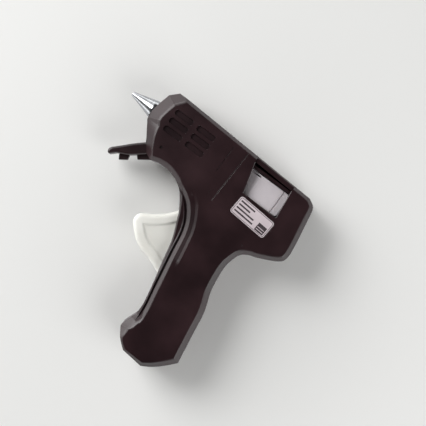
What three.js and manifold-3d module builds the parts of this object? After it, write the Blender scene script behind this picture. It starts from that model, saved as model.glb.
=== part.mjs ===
// A small trigger-fed hot glue gun that lies on its right side. Millimetres, +Z up.
//
// Everything is placed in the gun's own frame: x runs back from the nose, y runs up from the butt of
// the grip, and z runs out of the left side from the parting plane of the two shells. The last lines
// move that frame so that the gun stands on z = 0 with its box centred on the origin.

import * as THREE from "three";
import { mergeVertices } from "three/addons/utils/BufferGeometryUtils.js";
import Module from "manifold-3d";

const wasm = await Module();
wasm.setup();

// Housing
const BODY_LENGTH = 105.5;
const BODY_HEIGHT = 130;
const BODY_WIDTH = 28;
const WALL = 2;
const PARTING_GAP = 0.1;
const OVERRUN = 3;
const MERGE_DISTANCE = 1e-4;

// Clearances
const RUNNING_GAP = 0.35;
const SEAT_GAP = 0.25;
const FILM_GAP = 0.15;

// Nose and stand prong
const NOSE_FACE_WIDTH = 15;
const NOSE_CHAMFER = 6.5;
const PRONG_WIDTH = 12;
const PRONG_RIB_WIDTH = 5;
const NOSE_SPACE = 2;

// Glue path
const STICK_DIAMETER = 7.2;
const STICK_PLAY = 1.4;
const INLET_PLAY = 2.2;

// Nozzle and valve
const NOZZLE_EXPOSED = 14.7;
const NOZZLE_COLLAR = 0.8;
const NOZZLE_DIAMETER = 10.4;
const NOZZLE_TIP_DIAMETER = 2.6;
const NOZZLE_OUTLET_DIAMETER = 1.3;
const NOZZLE_SPIGOT_LENGTH = 6;
const VALVE_BORE = 4.4;
const VALVE_DEPTH = 11;
const VALVE_BALL = 3.2;
const VALVE_SEAT_LENGTH = 1.8;
const VALVE_SEAT_BORE = 2.2;
const VALVE_WIRE = 0.4;
const VALVE_SPRING_DIAMETER = 2.9;
const VALVE_CURLS = 5;

// Melt chamber and heater
const CHAMBER_LENGTH = 26.3;
const CHAMBER_DIAMETER = 14;
const CHAMBER_SPIGOT_LENGTH = 5;
const COLLAR_LENGTH = 3.6;
const COLLAR_WALL = 1.6;
const COLLAR_SETBACK = 1.4;
const COLLAR_OPENING = 10.4;
const POCKET_SETBACK = 5.8;
const POCKET_LENGTH = 16;
const POCKET_WIDTH = 10;
const POCKET_WALL = 1.2;
const FILM_THICKNESS = 0.3;
const FILM_OVERHANG = 0.5;
const PLATE_THICKNESS = 0.4;
const PLATE_TAB_LENGTH = 3;
const PLATE_TAB_WIDTH = 3;
const PILL_THICKNESS = 2.1;

// Feed sleeve
const SLEEVE_LENGTH = 14.5;
const SLEEVE_WALL = 1.3;
const SLEEVE_FLARE = 1.1;
const CLIP_WIDTH = 2.4;
const CLIP_THICKNESS = 0.8;
const CLIP_OPENING = 3;

// Carriage and stick clamp
const CARRIAGE_LENGTH = 31.4;
const CARRIAGE_BELOW_AXIS = 8.4;
const CARRIAGE_ABOVE_AXIS = 5.7;
const CARRIAGE_WIDTH = 19;
const CARRIAGE_TAB_LENGTH = 4;
const CARRIAGE_GROOVE = 0.6;
const CARRIAGE_CORNER = 1.4;
const CARRIAGE_BEVEL = 0.8;
const CARRIAGE_SLOPE_START = 6.8;
const CARRIAGE_SLOPE_LENGTH = 5.4;
const CARRIAGE_SLOPE_DEPTH = 2.5;
const CLAMP_SETBACK = 4.4;
const CLAMP_RISE = 1.9;
const CLAMP_HUB_DIAMETER = 3.4;
const CLAMP_TAIL = 6.8;
const CLAMP_SLOT_LENGTH = 8.3;
const LUG_DROP = 5.6;
const LUG_SETBACK = 1.9;
const LUG_LENGTH = 7.2;
const LUG_THICKNESS = 2.2;
const CLAMP_THICKNESS = 4.4;
const RAIL_THICKNESS = 1.7;
const RAIL_WIDTH = 4.6;

// Trigger and feed lever
const TRIGGER_WIDTH = 14;
const TRIGGER_WALL = 2;
const TRIGGER_RECESS = 0.8;
const TRIGGER_HUB_DIAMETER = 6.8;
const SQUEEZE_ANGLE = THREE.MathUtils.degToRad(16);
const LEVER_ARM = 13;
const LEVER_DROP = 24.57;
const LEVER_THICKNESS = 4.6;
const LEVER_HUB_DIAMETER = 7.2;
const LEVER_END_DIAMETER = 4.8;
const LEVER_FORK_LENGTH = 16.4;
const LEVER_FORK_WALL = 1.3;
const PIVOT_PIN_DIAMETER = 3;
const LINK_PIN_DIAMETER = 2.5;
const CLAMP_PIN_DIAMETER = 1.8;

// Return spring
const SPRING_WIRE = 0.7;
const SPRING_DIAMETER = 4.9;
const SPRING_PITCH = 1.16;
const SPRING_CURLS = 11;
const SPRING_POST_DIAMETER = 2.2;
const SPRING_POST_LENGTH = 3.3;

// Screws
const SCREW_DIAMETER = 2.6;
const SCREW_HEAD_DIAMETER = 5.2;
const SCREW_HEAD_HEIGHT = 1.9;
const SCREW_LENGTH = 11;
const SCREW_FLOOR = 2;
const SCREW_RECESS_WIDTH = 0.8;
const SCREW_RECESS_DEPTH = 1.1;
const BOSS_WALL = 1.5;

// Label, vents, leads and cord inlet
const LABEL_LENGTH = 23;
const LABEL_HEIGHT = 10.5;
const LABEL_TILT = THREE.MathUtils.degToRad(-4.2);
const LABEL_THICKNESS = 0.4;
const LABEL_RECESS = 0.6;
const LABEL_CORNER = 1.4;
const VENT_LENGTH = 11.4;
const VENT_HEIGHT = 3.2;
const VENT_DEPTH = 0.7;
const VENT_PITCH_ALONG = 14.4;
const VENT_PITCH_UP = 5.2;
const LEAD_DIAMETER = 1.8;
const CAP_DIAMETER = 4.4;
const CAP_NECK_DIAMETER = 3.4;
const CAP_LENGTH = 12;
const CORD_INLET_DIAMETER = 7;

// Sides of round pieces
const COARSE_SIDES = 12;
const ROUND_SIDES = 20;
const NOZZLE_SIDES = 28;
const OUTLINE_STEPS = 2;
const CURL_STEPS = 8;
const WIRE_SIDES = 5;
const LEAD_SIDES = 8;

// The silhouette of the housing without its prong, in shares of the body's length and height. A run
// of one point is a straight edge and a longer run is one smooth curve.
const bodyStartShare = [0.064, 1];
const bodyOutlineShares = [
  [[0.912, 0.968]],
  [[0.95, 0.949], [0.964, 0.918]],
  [[0.994, 0.78]],
  [[1, 0.717], [0.974, 0.683], [0.882, 0.645], [0.829, 0.629], [0.793, 0.604], [0.773, 0.549]],
  [[0.773, 0.508], [0.788, 0.424], [0.814, 0.361], [0.829, 0.318], [0.845, 0.235], [0.871, 0.101]],
  [[0.834, 0.067], [0.778, 0.025], [0.726, 0]],
  [[0.608, 0.011]],
  [[0.561, 0.042], [0.53, 0.075], [0.522, 0.092], [0.535, 0.126], [0.551, 0.159]],
  [[0.551, 0.202], [0.54, 0.256], [0.524, 0.318], [0.499, 0.402], [0.473, 0.495], [0.431, 0.578]],
  [[0.411, 0.612], [0.365, 0.667], [0.328, 0.692], [0.287, 0.708], [0.235, 0.717], [0.184, 0.715]],
  [[0.142, 0.708], [0.106, 0.719]],
  [[0.07, 0.755]],
  [[0.055, 0.775]],
  [[0.024, 0.813], [0.003, 0.843], [0, 0.876], [0.008, 0.914]],
  [[0.024, 0.968]],
];
const prongStartShare = [0.13, 0.8];
const prongOutlineShares = [
  [[0.07, 0.755]],
  [[0.018, 0.717], [-0.023, 0.683], [-0.059, 0.654]],
  [[-0.066, 0.641], [-0.06, 0.628], [-0.048, 0.625]],
  [[-0.023, 0.645]],
  [[0.039, 0.671], [0.106, 0.715]],
  [[0.2, 0.745]],
];
const prongRibShares = [
  [[-0.01, 0.66], [-0.005, 0.644], [0.008, 0.629], [0.045, 0.65], [0.035, 0.69]],
  [[0.06, 0.7], [0.07, 0.688], [0.085, 0.675], [0.137, 0.705], [0.2, 0.72], [0.1, 0.73]],
];
const windowShares = [
  [0.581, 0.956],
  [0.813, 0.948],
  [0.831, 0.82],
  [0.623, 0.824],
];

// Places in the same shares
const edgeBevelShare = 0.0145;
const barrelHeightShare = 0.886;
const triggerPivotShare = [0.555, 0.356];
const leverPivotShare = 0.544;
const linkRadiusShare = 0.74;
const triggerReachShare = 0.8186;
const triggerBevelShare = 0.0198;
const springPostShare = 0.782;
const labelCentreShare = [0.733, 0.765];
const ventCentreShare = [0.225, 0.888];
const cordInletShare = 0.665;
const screwShares = {
  screw_nose: [0.142, 0.741],
  screw_arch: [0.313, 0.735],
  screw_rear: [0.919, 0.746],
  screw_grip: [0.72, 0.385],
  screw_butt: [0.787, 0.117],
};
const capShares = [
  [0.645, 0.215],
  [0.711, 0.215],
];
// The third share is the part of the way from the parting plane to the right wall.
const leadShares = [
  [[0.318, 0.79, 0.1], [0.36, 0.785, 0.5], [0.41, 0.76, 0.9], [0.447, 0.72, 1], [0.475, 0.65, 1],
    [0.55, 0.55, 1], [0.6, 0.45, 1], [0.632, 0.36, 1]],
  [[0.325, 0.808, 0], [0.38, 0.796, 0.4], [0.43, 0.775, 0.9], [0.475, 0.735, 1], [0.5, 0.65, 1],
    [0.58, 0.55, 1], [0.633, 0.45, 1], [0.68, 0.36, 1]],
];

// The trigger in shares of its reach from the pivot
const triggerOutlineShares = [
  [[-0.27, 0.962], [-0.405, 0.909]],
  [[-0.54, 0.752], [-0.691, 0.624], [-0.81, 0.556], [-0.862, 0.512], [-0.884, 0.466]],
  [[-0.871, 0.377], [-0.78, 0.27], [-0.661, 0.165], [-0.51, 0.091]],
  [[-0.361, 0.061]],
  [[0, -0.085]],
  [[0.085, 0]],
  [[-0.06, 0.86]],
];
const triggerSlotEndShare = 1.18;
const triggerStartShare = [-0.1, 0.98];
const triggerPanelShares = [
  [-0.675, 0.452],
  [-0.554, 0.556],
  [-0.405, 0.736],
  [-0.3, 0.82],
  [-0.14, 0.7],
  [-0.14, 0.13],
  [-0.388, 0.121],
  [-0.479, 0.242],
  [-0.601, 0.347],
];
const triggerOpenShares = [
  [-0.33, 0.16],
  [0.3, 0.16],
  [0.3, 1.2],
  [-0.33, 1.2],
];

const HALF_WIDTH = BODY_WIDTH / 2;
const INNER_HALF_WIDTH = HALF_WIDTH - WALL;
const BARREL_Y = barrelHeightShare * BODY_HEIGHT;
const STICK_BORE = STICK_DIAMETER + STICK_PLAY;
const INLET_BORE = STICK_DIAMETER + INLET_PLAY;

const shellBlack = [0x2a171b, 0.42, 0];
const triggerWhite = [0xe6e5df, 0.45, 0];
const carriageWhite = [0xc9c0c4, 0.5, 0];
const brightMetal = [0xb8bcc2, 0.25, 1];
const castMetal = [0x9a9da1, 0.55, 1];
const steel = [0xa9acb0, 0.35, 1];
const phenolic = [0x4a2e22, 0.6, 0];
const silicone = [0xd9d2c4, 0.7, 0];
const film = [0xb5762a, 0.35, 0];
const brass = [0xb58d45, 0.35, 1];
const ceramic = [0x3a3b3d, 0.8, 0];
const labelSilver = [0xc5b9bc, 0.4, 0.3];
const glassSleeve = [0xe8e4d8, 0.8, 0];
const capWhite = [0xd9dadb, 0.5, 0];

function at(share) {
  return new THREE.Vector2(share[0] * BODY_LENGTH, share[1] * BODY_HEIGHT);
}

// The stick clamp in shares of its tail, about its pin
const clampShares = [
  [0.2, -0.2],
  [0, 0.25],
  [-0.36, 0.13],
  [-0.46, 0.27],
  [-0.44, 0.05],
  [-0.4, -0.35],
  [-0.46, -1],
  [-0.33, -1],
  [-0.28, -0.3],
];

const hookAngles = [-0.3, -0.55, -0.8, -1.05, -1.3, -1.55].map((turn) => turn * Math.PI);

// Shapes

function outline(start, runs, place) {
  const shape = new THREE.Shape();
  const first = place(start);
  shape.moveTo(first.x, first.y);
  for (const run of runs) {
    const points = run.map(place);
    if (points.length === 1) shape.lineTo(points[0].x, points[0].y);
    else shape.splineThru(points);
  }
  return shape;
}

function polygon(points) {
  return new THREE.Shape(points);
}

function stadium(length, height) {
  const radius = height / 2;
  const reach = (length - height) / 2;
  const shape = new THREE.Shape();
  shape.absarc(reach, 0, radius, -Math.PI / 2, Math.PI / 2);
  shape.absarc(-reach, 0, radius, Math.PI / 2, Math.PI * 1.5);
  return shape;
}

function roundedRectangle(length, height, corner) {
  const x = length / 2 - corner;
  const y = height / 2 - corner;
  const shape = new THREE.Shape();
  shape.absarc(x, -y, corner, -Math.PI / 2, 0);
  shape.absarc(x, y, corner, 0, Math.PI / 2);
  shape.absarc(-x, y, corner, Math.PI / 2, Math.PI);
  shape.absarc(-x, -y, corner, Math.PI, Math.PI * 1.5);
  return shape;
}

// Solids

function solidOf(geometry) {
  const bare = geometry.index ? geometry.toNonIndexed() : geometry.clone();
  bare.deleteAttribute("normal");
  bare.deleteAttribute("uv");
  const merged = mergeVertices(bare, MERGE_DISTANCE);
  const corners = merged.index.array;
  const kept = [];
  for (let i = 0; i < corners.length; i += 3) {
    const [a, b, c] = [corners[i], corners[i + 1], corners[i + 2]];
    if (a !== b && b !== c && c !== a) kept.push(a, b, c);
  }
  const vertProperties = merged.attributes.position.array;
  const triVerts = new Uint32Array(kept);
  return new wasm.Manifold(new wasm.Mesh({ numProp: 3, vertProperties, triVerts }));
}

function geometryOf(solid) {
  const made = solid.getMesh();
  const geometry = new THREE.BufferGeometry();
  geometry.setAttribute("position", new THREE.BufferAttribute(made.vertProperties, 3));
  geometry.setIndex(new THREE.BufferAttribute(made.triVerts, 1));
  const faceted = geometry.toNonIndexed();
  faceted.computeVertexNormals();
  return faceted;
}

function prism(shape, bottom, top, segments = 4) {
  const geometry = new THREE.ExtrudeGeometry(shape, {
    depth: top - bottom,
    bevelEnabled: false,
    curveSegments: segments,
  });
  return solidOf(geometry.translate(0, 0, bottom));
}

// A prism with chamfered ends.
function softPrism(shape, halfDepth, bevel, segments) {
  const geometry = new THREE.ExtrudeGeometry(shape, {
    depth: 2 * (halfDepth - bevel),
    bevelEnabled: true,
    bevelThickness: bevel,
    bevelSize: bevel,
    bevelOffset: -bevel,
    bevelSegments: 2,
    curveSegments: segments,
  });
  return solidOf(geometry.translate(0, 0, bevel - halfDepth));
}

// A shape drawn in by a distance, evenly all round. Where that parts it, the largest part is kept.
function drawnIn(shape, distance, segments) {
  const points = shape.getPoints(segments).map(({ x, y }) => [x, y]);
  const section = new wasm.CrossSection([points], "EvenOdd").offset(-distance, "Miter");
  const parts = section
    .toPolygons()
    .map((part) => part.map(([x, y]) => new THREE.Vector2(x, y)))
    .sort((a, b) => THREE.ShapeUtils.area(b) - THREE.ShapeUtils.area(a));
  return polygon(parts[0]);
}

// A prism that stands along y over a shape drawn in x and z.
function standing(shape, low, high) {
  const geometry = new THREE.ExtrudeGeometry(shape, { depth: high - low, bevelEnabled: false });
  return solidOf(geometry.rotateX(Math.PI / 2).translate(0, high, 0));
}

function block(low, high) {
  const size = high.clone().sub(low);
  const middle = high.clone().add(low).multiplyScalar(0.5);
  const geometry = new THREE.BoxGeometry(size.x, size.y, size.z);
  return solidOf(geometry.translate(middle.x, middle.y, middle.z));
}

function corner(x, y, z) {
  return new THREE.Vector3(x, y, z);
}

// A round bar along z.
function bar(diameter, bottom, top, sides = COARSE_SIDES) {
  const geometry = new THREE.CylinderGeometry(diameter / 2, diameter / 2, top - bottom, sides);
  return solidOf(geometry.rotateX(Math.PI / 2).translate(0, 0, (bottom + top) / 2));
}

// A round bar along x.
function lyingBar(diameter, front, rear, sides = ROUND_SIDES) {
  const geometry = new THREE.CylinderGeometry(diameter / 2, diameter / 2, rear - front, sides);
  return solidOf(geometry.rotateZ(Math.PI / 2).translate((front + rear) / 2, 0, 0));
}

// A piece turned about the x axis from [x, radius] pairs that go once round its section.
function turned(section, sides = ROUND_SIDES) {
  const points = section.map(([x, radius]) => new THREE.Vector2(radius, x));
  points.push(points[0].clone());
  const geometry = new THREE.LatheGeometry(points, sides).rotateZ(-Math.PI / 2);
  const made = solidOf(geometry);
  return made.volume() > 0 ? made : solidOf(insideOut(geometry));
}

function insideOut(geometry) {
  const turnedOver = geometry.clone();
  const order = turnedOver.index.array;
  for (let i = 0; i < order.length; i += 3) [order[i], order[i + 1]] = [order[i + 1], order[i]];
  return turnedOver;
}

function moved(solid, place, z = 0) {
  return solid.translate([place.x, place.y, z]);
}

function joined(solids) {
  return solids.reduce((sum, next) => sum.add(next));
}

function cut(solid, cutters) {
  return cutters.reduce((left, cutter) => left.subtract(cutter), solid);
}

// A wire or lead along points, as one tube.
function tube(points, diameter, sides, steps) {
  const section = new THREE.Shape();
  section.absarc(0, 0, diameter / 2, 0, Math.PI * 2);
  const ring = section.getSpacedPoints(sides).slice(0, sides);
  const path = new THREE.CatmullRomCurve3(points);
  const geometry = new THREE.ExtrudeGeometry(new THREE.Shape(ring), {
    steps,
    bevelEnabled: false,
    extrudePath: path,
  });
  return solidOf(geometry);
}

function piece(name, solid, look) {
  const [color, roughness, metalness] = look;
  const material = new THREE.MeshStandardMaterial({ color, roughness, metalness });
  const mesh = new THREE.Mesh(geometryOf(solid), material);
  mesh.name = name;
  return mesh;
}

// Linkage. The link pin and the drive pin swing evenly to both sides of the line through the two
// pivots, so that the lever drives the carriage at a nearly steady ratio.

const triggerPivot = at(triggerPivotShare);
const leverPivot = new THREE.Vector2(leverPivotShare * BODY_LENGTH, BARREL_Y - LEVER_DROP);
const pivotLine = leverPivot.clone().sub(triggerPivot);
const pivotDistance = pivotLine.length();
const linkRadius = pivotDistance * linkRadiusShare;
const triggerReach = pivotDistance * triggerReachShare;
const triggerBevel = triggerReach * triggerBevelShare;
const pivotAngle = pivotLine.angle();
const linkAngle = pivotAngle + SQUEEZE_ANGLE / 2;
const linkAside = linkRadius * Math.sin(SQUEEZE_ANGLE / 2);
const linkBelow = pivotDistance - linkRadius * Math.cos(SQUEEZE_ANGLE / 2);
const leverSwing = Math.atan2(linkAside, linkBelow);
const leverAngle = pivotAngle - leverSwing;
const drivePlace = leverPivot
  .clone()
  .add(new THREE.Vector2(LEVER_ARM, 0).rotateAround(new THREE.Vector2(), leverAngle));

// Return spring posts: one on the feed lever, one on the left shell.
const leverPostReach = LEVER_ARM / 2 + SPRING_POST_DIAMETER / 4;
const leverPost = leverPivot
  .clone()
  .add(new THREE.Vector2(leverPostReach, 0).rotateAround(new THREE.Vector2(), leverAngle));
const springPost = new THREE.Vector2(springPostShare * BODY_LENGTH, leverPost.y);

// Places along the barrel
const chamberFront = WALL + NOSE_SPACE;
const chamberRear = chamberFront + CHAMBER_LENGTH;
const spigotDiameter = (STICK_BORE + CHAMBER_DIAMETER) / 2 - SEAT_GAP;
const sleeveFront = chamberRear + 2 * SEAT_GAP;
const sleeveRear = sleeveFront + SLEEVE_LENGTH;
const sleeveDiameter = CHAMBER_DIAMETER;
const sleeveWaist = STICK_BORE + 2 * SLEEVE_WALL;
const collarBore = CHAMBER_DIAMETER + 2 * SEAT_GAP;
const collarDiameter = collarBore + 2 * COLLAR_WALL;
const frontCollarAt = chamberFront + COLLAR_SETBACK;
const rearCollarAt = chamberRear - COLLAR_LENGTH;
const carriageFront = drivePlace.x - LUG_LENGTH / 2 - LUG_SETBACK;
const carriageRear = carriageFront + CARRIAGE_LENGTH;
const carriageBottom = BARREL_Y - CARRIAGE_BELOW_AXIS;
const carriageTop = BARREL_Y + CARRIAGE_ABOVE_AXIS;

// Outlines of the housing
const bodyShape = outline(bodyStartShare, bodyOutlineShares, at);
const prongShape = outline(prongStartShare, prongOutlineShares, at);
const prongRibShapes = prongRibShares.map((shares) => polygon(shares.map(at)));

// The half of the nose that lies past a slanted plane, for the wide bevels beside the nozzle.
function noseWedge(side, inset) {
  const rise = (BODY_WIDTH - NOSE_FACE_WIDTH) / 2;
  const run = NOSE_CHAMFER;
  const steep = inset * Math.hypot(run, rise) / rise;
  const plan = new THREE.Shape([
    new THREE.Vector2(-OVERRUN + steep, HALF_WIDTH - rise - (OVERRUN * rise) / run),
    new THREE.Vector2(run + OVERRUN + steep, HALF_WIDTH + (OVERRUN * rise) / run),
    new THREE.Vector2(-OVERRUN - run, HALF_WIDTH + (OVERRUN * rise) / run),
    new THREE.Vector2(-OVERRUN - run, HALF_WIDTH - rise - (OVERRUN * rise) / run),
  ]);
  const wedge = standing(plan, OVERRUN, BODY_HEIGHT + OVERRUN);
  return side > 0 ? wedge : wedge.mirror([0, 0, 1]);
}

function bevelledNose(solid, inset) {
  return cut(solid, [noseWedge(1, inset), noseWedge(-1, inset)]);
}

const edgeBevel = BODY_HEIGHT * edgeBevelShare;
const bodyOuter = bevelledNose(softPrism(bodyShape, HALF_WIDTH, edgeBevel, OUTLINE_STEPS), 0);
const bodyMiddle = bevelledNose(
  prism(drawnIn(bodyShape, WALL / 2, OUTLINE_STEPS), WALL / 2 - HALF_WIDTH, HALF_WIDTH - WALL / 2),
  WALL / 2,
).intersect(bodyOuter);
const bodyInner = bevelledNose(
  prism(drawnIn(bodyShape, WALL, OUTLINE_STEPS), -INNER_HALF_WIDTH, INNER_HALF_WIDTH),
  WALL,
);

// The space on one side of the parting plane.
function sideSpace(side) {
  const far = BODY_LENGTH + BODY_HEIGHT;
  const low = corner(-far, -far, PARTING_GAP / 2);
  const high = corner(far, far, BODY_WIDTH);
  const space = block(low, high);
  return side > 0 ? space : space.mirror([0, 0, 1]);
}

function onSide(side, solid) {
  return side > 0 ? solid : solid.mirror([0, 0, 1]);
}

// A wall across the barrel, open round what it carries.
function barrelRib(front, thickness, bore, below) {
  const low = corner(front, BARREL_Y - below, 0);
  const high = corner(front + thickness, BODY_HEIGHT, BODY_WIDTH);
  const opening = moved(lyingBar(bore, front - OVERRUN, front + thickness + OVERRUN), lineUp());
  return block(low, high).subtract(opening);
}

function lineUp() {
  return new THREE.Vector2(0, BARREL_Y);
}

function rails() {
  const front = sleeveRear + RUNNING_GAP + OVERRUN;
  const rear = carriageRear + RAIL_THICKNESS;
  const inside = INNER_HALF_WIDTH - RAIL_WIDTH;
  const lower = block(
    corner(front, carriageBottom - SEAT_GAP - RAIL_THICKNESS, inside),
    corner(rear, carriageBottom - SEAT_GAP, BODY_WIDTH),
  );
  const upper = block(
    corner(front, carriageTop + SEAT_GAP, inside),
    corner(rear, carriageTop + SEAT_GAP + RAIL_THICKNESS, BODY_WIDTH),
  );
  return [lower, upper];
}

// The bosses that hold the ends of the two pivot pins.
function pinBosses() {
  const face = TRIGGER_WIDTH / 2 + RUNNING_GAP;
  const outer = PIVOT_PIN_DIAMETER + 2 * (SEAT_GAP + BOSS_WALL);
  return [triggerPivot, leverPivot].map((place) => moved(bar(outer, face, HALF_WIDTH), place));
}

function pinHoles() {
  const hole = bar(PIVOT_PIN_DIAMETER + 2 * SEAT_GAP, 0, INNER_HALF_WIDTH);
  return [triggerPivot, leverPivot].map((place) => moved(hole, place));
}

const wellDiameter = SCREW_HEAD_DIAMETER + 2 * SEAT_GAP;
const wellTubeDiameter = wellDiameter + BOSS_WALL;
const screwBossDiameter = SCREW_DIAMETER + 2 * SEAT_GAP + 2 * BOSS_WALL;
const screwSeat = -SCREW_FLOOR - SEAT_GAP;
const screwPlaces = Object.entries(screwShares).map(([name, share]) => [name, at(share)]);
const screwHoleEnd = screwSeat + SCREW_LENGTH + SEAT_GAP;

function triggerSlot() {
  const reach = triggerReach + RUNNING_GAP + SEAT_GAP;
  const slot = new THREE.Shape();
  slot.moveTo(0, 0);
  slot.lineTo(reach * Math.cos(pivotAngle), reach * Math.sin(pivotAngle));
  slot.absarc(0, 0, reach, pivotAngle, Math.PI * triggerSlotEndShare);
  const half = TRIGGER_WIDTH / 2 + RUNNING_GAP;
  const hubPlay = 2 * (RUNNING_GAP + SEAT_GAP);
  const hubSpace = bar(TRIGGER_HUB_DIAMETER + hubPlay, -half, half, ROUND_SIDES);
  return moved(prism(slot, -half, half, ROUND_SIDES).add(hubSpace), triggerPivot);
}

function ventPlaces() {
  const centre = at(ventCentreShare);
  const places = [];
  for (const column of [-1 / 2, 1 / 2]) {
    for (const row of [-1, 0, 1]) {
      places.push(
        new THREE.Vector2(centre.x + column * VENT_PITCH_ALONG, centre.y + row * VENT_PITCH_UP),
      );
    }
  }
  return places;
}

function vents() {
  const vent = prism(stadium(VENT_LENGTH, VENT_HEIGHT), HALF_WIDTH - VENT_DEPTH, BODY_WIDTH);
  return ventPlaces().map((place) => moved(vent, place));
}

function barrelOpenings() {
  const nose = moved(lyingBar(NOZZLE_DIAMETER + 2 * SEAT_GAP, -OVERRUN, chamberFront), lineUp());
  const inletFront = BODY_LENGTH - BODY_LENGTH / 8;
  const inlet = moved(lyingBar(INLET_BORE, inletFront, BODY_LENGTH + OVERRUN), lineUp());
  const cord = new THREE.CylinderGeometry(
    CORD_INLET_DIAMETER / 2,
    CORD_INLET_DIAMETER / 2,
    WALL * 3 + OVERRUN,
    COARSE_SIDES,
  );
  cord.translate(cordInletShare * BODY_LENGTH, (WALL * 3 - OVERRUN) / 2, 0);
  return [nose, inlet, solidOf(cord)];
}

function housingRibs() {
  const collarRibBore = collarDiameter + 2 * SEAT_GAP;
  const ribLength = COLLAR_LENGTH - 2 * SEAT_GAP;
  const below = CHAMBER_DIAMETER / 2;
  const sleeveRibAt = (sleeveFront + sleeveRear) / 2 + ribLength / 2;
  return [
    barrelRib(frontCollarAt + SEAT_GAP, ribLength, collarRibBore, below),
    barrelRib(rearCollarAt + SEAT_GAP, ribLength, collarRibBore, below),
    barrelRib(sleeveRibAt, WALL, sleeveWaist + 2 * SEAT_GAP, below),
    barrelRib(carriageRear + 2 * WALL, WALL, INLET_BORE, below),
  ];
}

function prongHalf() {
  const prong = prism(prongShape, 0, PRONG_WIDTH / 2, 2);
  const ribs = prongRibShapes.map((shape) => prism(shape, 0, PRONG_RIB_WIDTH / 2));
  return joined([prong, ...ribs]);
}

function shellBlank(side, extras) {
  const wall = bodyOuter.subtract(bodyInner);
  const inside = joined([...housingRibs(), ...rails(), ...pinBosses(), ...extras]);
  const fittings = onSide(side, inside).intersect(bodyMiddle);
  const prong = onSide(side, prongHalf()).subtract(bodyInner);
  return joined([wall, fittings, prong]).intersect(sideSpace(side));
}

function housingLeft() {
  const bosses = screwPlaces.map(([, place]) =>
    moved(bar(screwBossDiameter, 0, HALF_WIDTH), place),
  );
  const post = moved(bar(SPRING_POST_DIAMETER, LEVER_THICKNESS / 2, HALF_WIDTH), springPost);
  const holes = screwPlaces.map(([, place]) =>
    moved(bar(SCREW_DIAMETER + 2 * SEAT_GAP, 0, screwHoleEnd), place),
  );
  const windowCut = prism(polygon(windowShares.map(at)), INNER_HALF_WIDTH - SEAT_GAP, BODY_WIDTH);
  const labelShape = roundedRectangle(
    LABEL_LENGTH + 2 * SEAT_GAP,
    LABEL_HEIGHT + 2 * SEAT_GAP,
    LABEL_CORNER + SEAT_GAP,
  );
  const labelSpace = prism(labelShape, HALF_WIDTH - LABEL_RECESS, BODY_WIDTH);
  const labelTurn = THREE.MathUtils.radToDeg(LABEL_TILT);
  const labelCut = moved(labelSpace.rotate([0, 0, labelTurn]), at(labelCentreShare));
  const cutters = [windowCut, labelCut, ...holes, ...pinHoles(), ...vents(), ...barrelOpenings()];
  return cut(shellBlank(1, [...bosses, post]), [...cutters, triggerSlot()]);
}

function housingRight() {
  const tubes = screwPlaces.map(([, place]) =>
    moved(bar(wellTubeDiameter, 0, HALF_WIDTH), place),
  );
  const wells = screwPlaces.map(([, place]) =>
    moved(bar(wellDiameter, SCREW_FLOOR, BODY_WIDTH), place),
  );
  const holes = screwPlaces.map(([, place]) =>
    moved(bar(SCREW_DIAMETER + 2 * SEAT_GAP, -OVERRUN, BODY_WIDTH), place),
  );
  const cutters = [...wells, ...holes, ...pinHoles(), ...vents()].map((c) => onSide(-1, c));
  return cut(shellBlank(-1, tubes), [...cutters, ...barrelOpenings(), triggerSlot()]);
}

// Barrel pieces, each turned about the barrel's axis

const boreRadius = STICK_BORE / 2;
const nozzleSeat = chamberFront - SEAT_GAP;
const nozzleRear = chamberFront + NOZZLE_SPIGOT_LENGTH;
const valveFront = nozzleRear - VALVE_DEPTH;
const valveSeatFront = nozzleRear - VALVE_SEAT_LENGTH;
const ballRadius = VALVE_BALL / 2;
const ballSeating = Math.sqrt(ballRadius ** 2 - (VALVE_SEAT_BORE / 2) ** 2);
const ballCentre = valveSeatFront - ballSeating - FILM_GAP;

function nozzle() {
  const outlet = NOZZLE_OUTLET_DIAMETER / 2;
  const outside = NOZZLE_DIAMETER / 2;
  const cavity = VALVE_BORE / 2;
  const section = [
    [-NOZZLE_EXPOSED, outlet],
    [-NOZZLE_EXPOSED, NOZZLE_TIP_DIAMETER / 2],
    [-NOZZLE_COLLAR, outside],
    [nozzleSeat, outside],
    [nozzleSeat, boreRadius - SEAT_GAP],
    [nozzleRear, boreRadius - SEAT_GAP],
    [nozzleRear, cavity],
    [valveFront, cavity],
    [valveFront - cavity + outlet, outlet],
  ];
  return turned(section, NOZZLE_SIDES);
}

function ring(front, rear, inner, outer, sides = ROUND_SIDES) {
  return turned([[front, inner], [front, outer], [rear, outer], [rear, inner]], sides);
}

function valveSeat() {
  const outside = VALVE_BORE / 2 - FILM_GAP;
  return ring(valveSeatFront, nozzleRear, VALVE_SEAT_BORE / 2, outside, COARSE_SIDES);
}

function valveBall() {
  const sphere = new THREE.SphereGeometry(ballRadius, COARSE_SIDES, COARSE_SIDES / 2);
  return solidOf(sphere.translate(ballCentre, 0, 0));
}

const pocketFront = chamberFront + POCKET_SETBACK;
const pocketRear = pocketFront + POCKET_LENGTH;
const pocketTop = -CHAMBER_DIAMETER / 2;
const plateDepth = 2 * FILM_GAP + FILM_THICKNESS;
const upperPlateTop = pocketTop - plateDepth;
const pillTop = upperPlateTop - PLATE_THICKNESS - FILM_GAP;
const lowerPlateTop = pillTop - PILL_THICKNESS - FILM_GAP;
const pocketBottom = lowerPlateTop - PLATE_THICKNESS - plateDepth;
const plateHalfWidth = POCKET_WIDTH / 2 - plateDepth;
const tabRear = pocketRear + PLATE_TAB_LENGTH;

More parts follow.
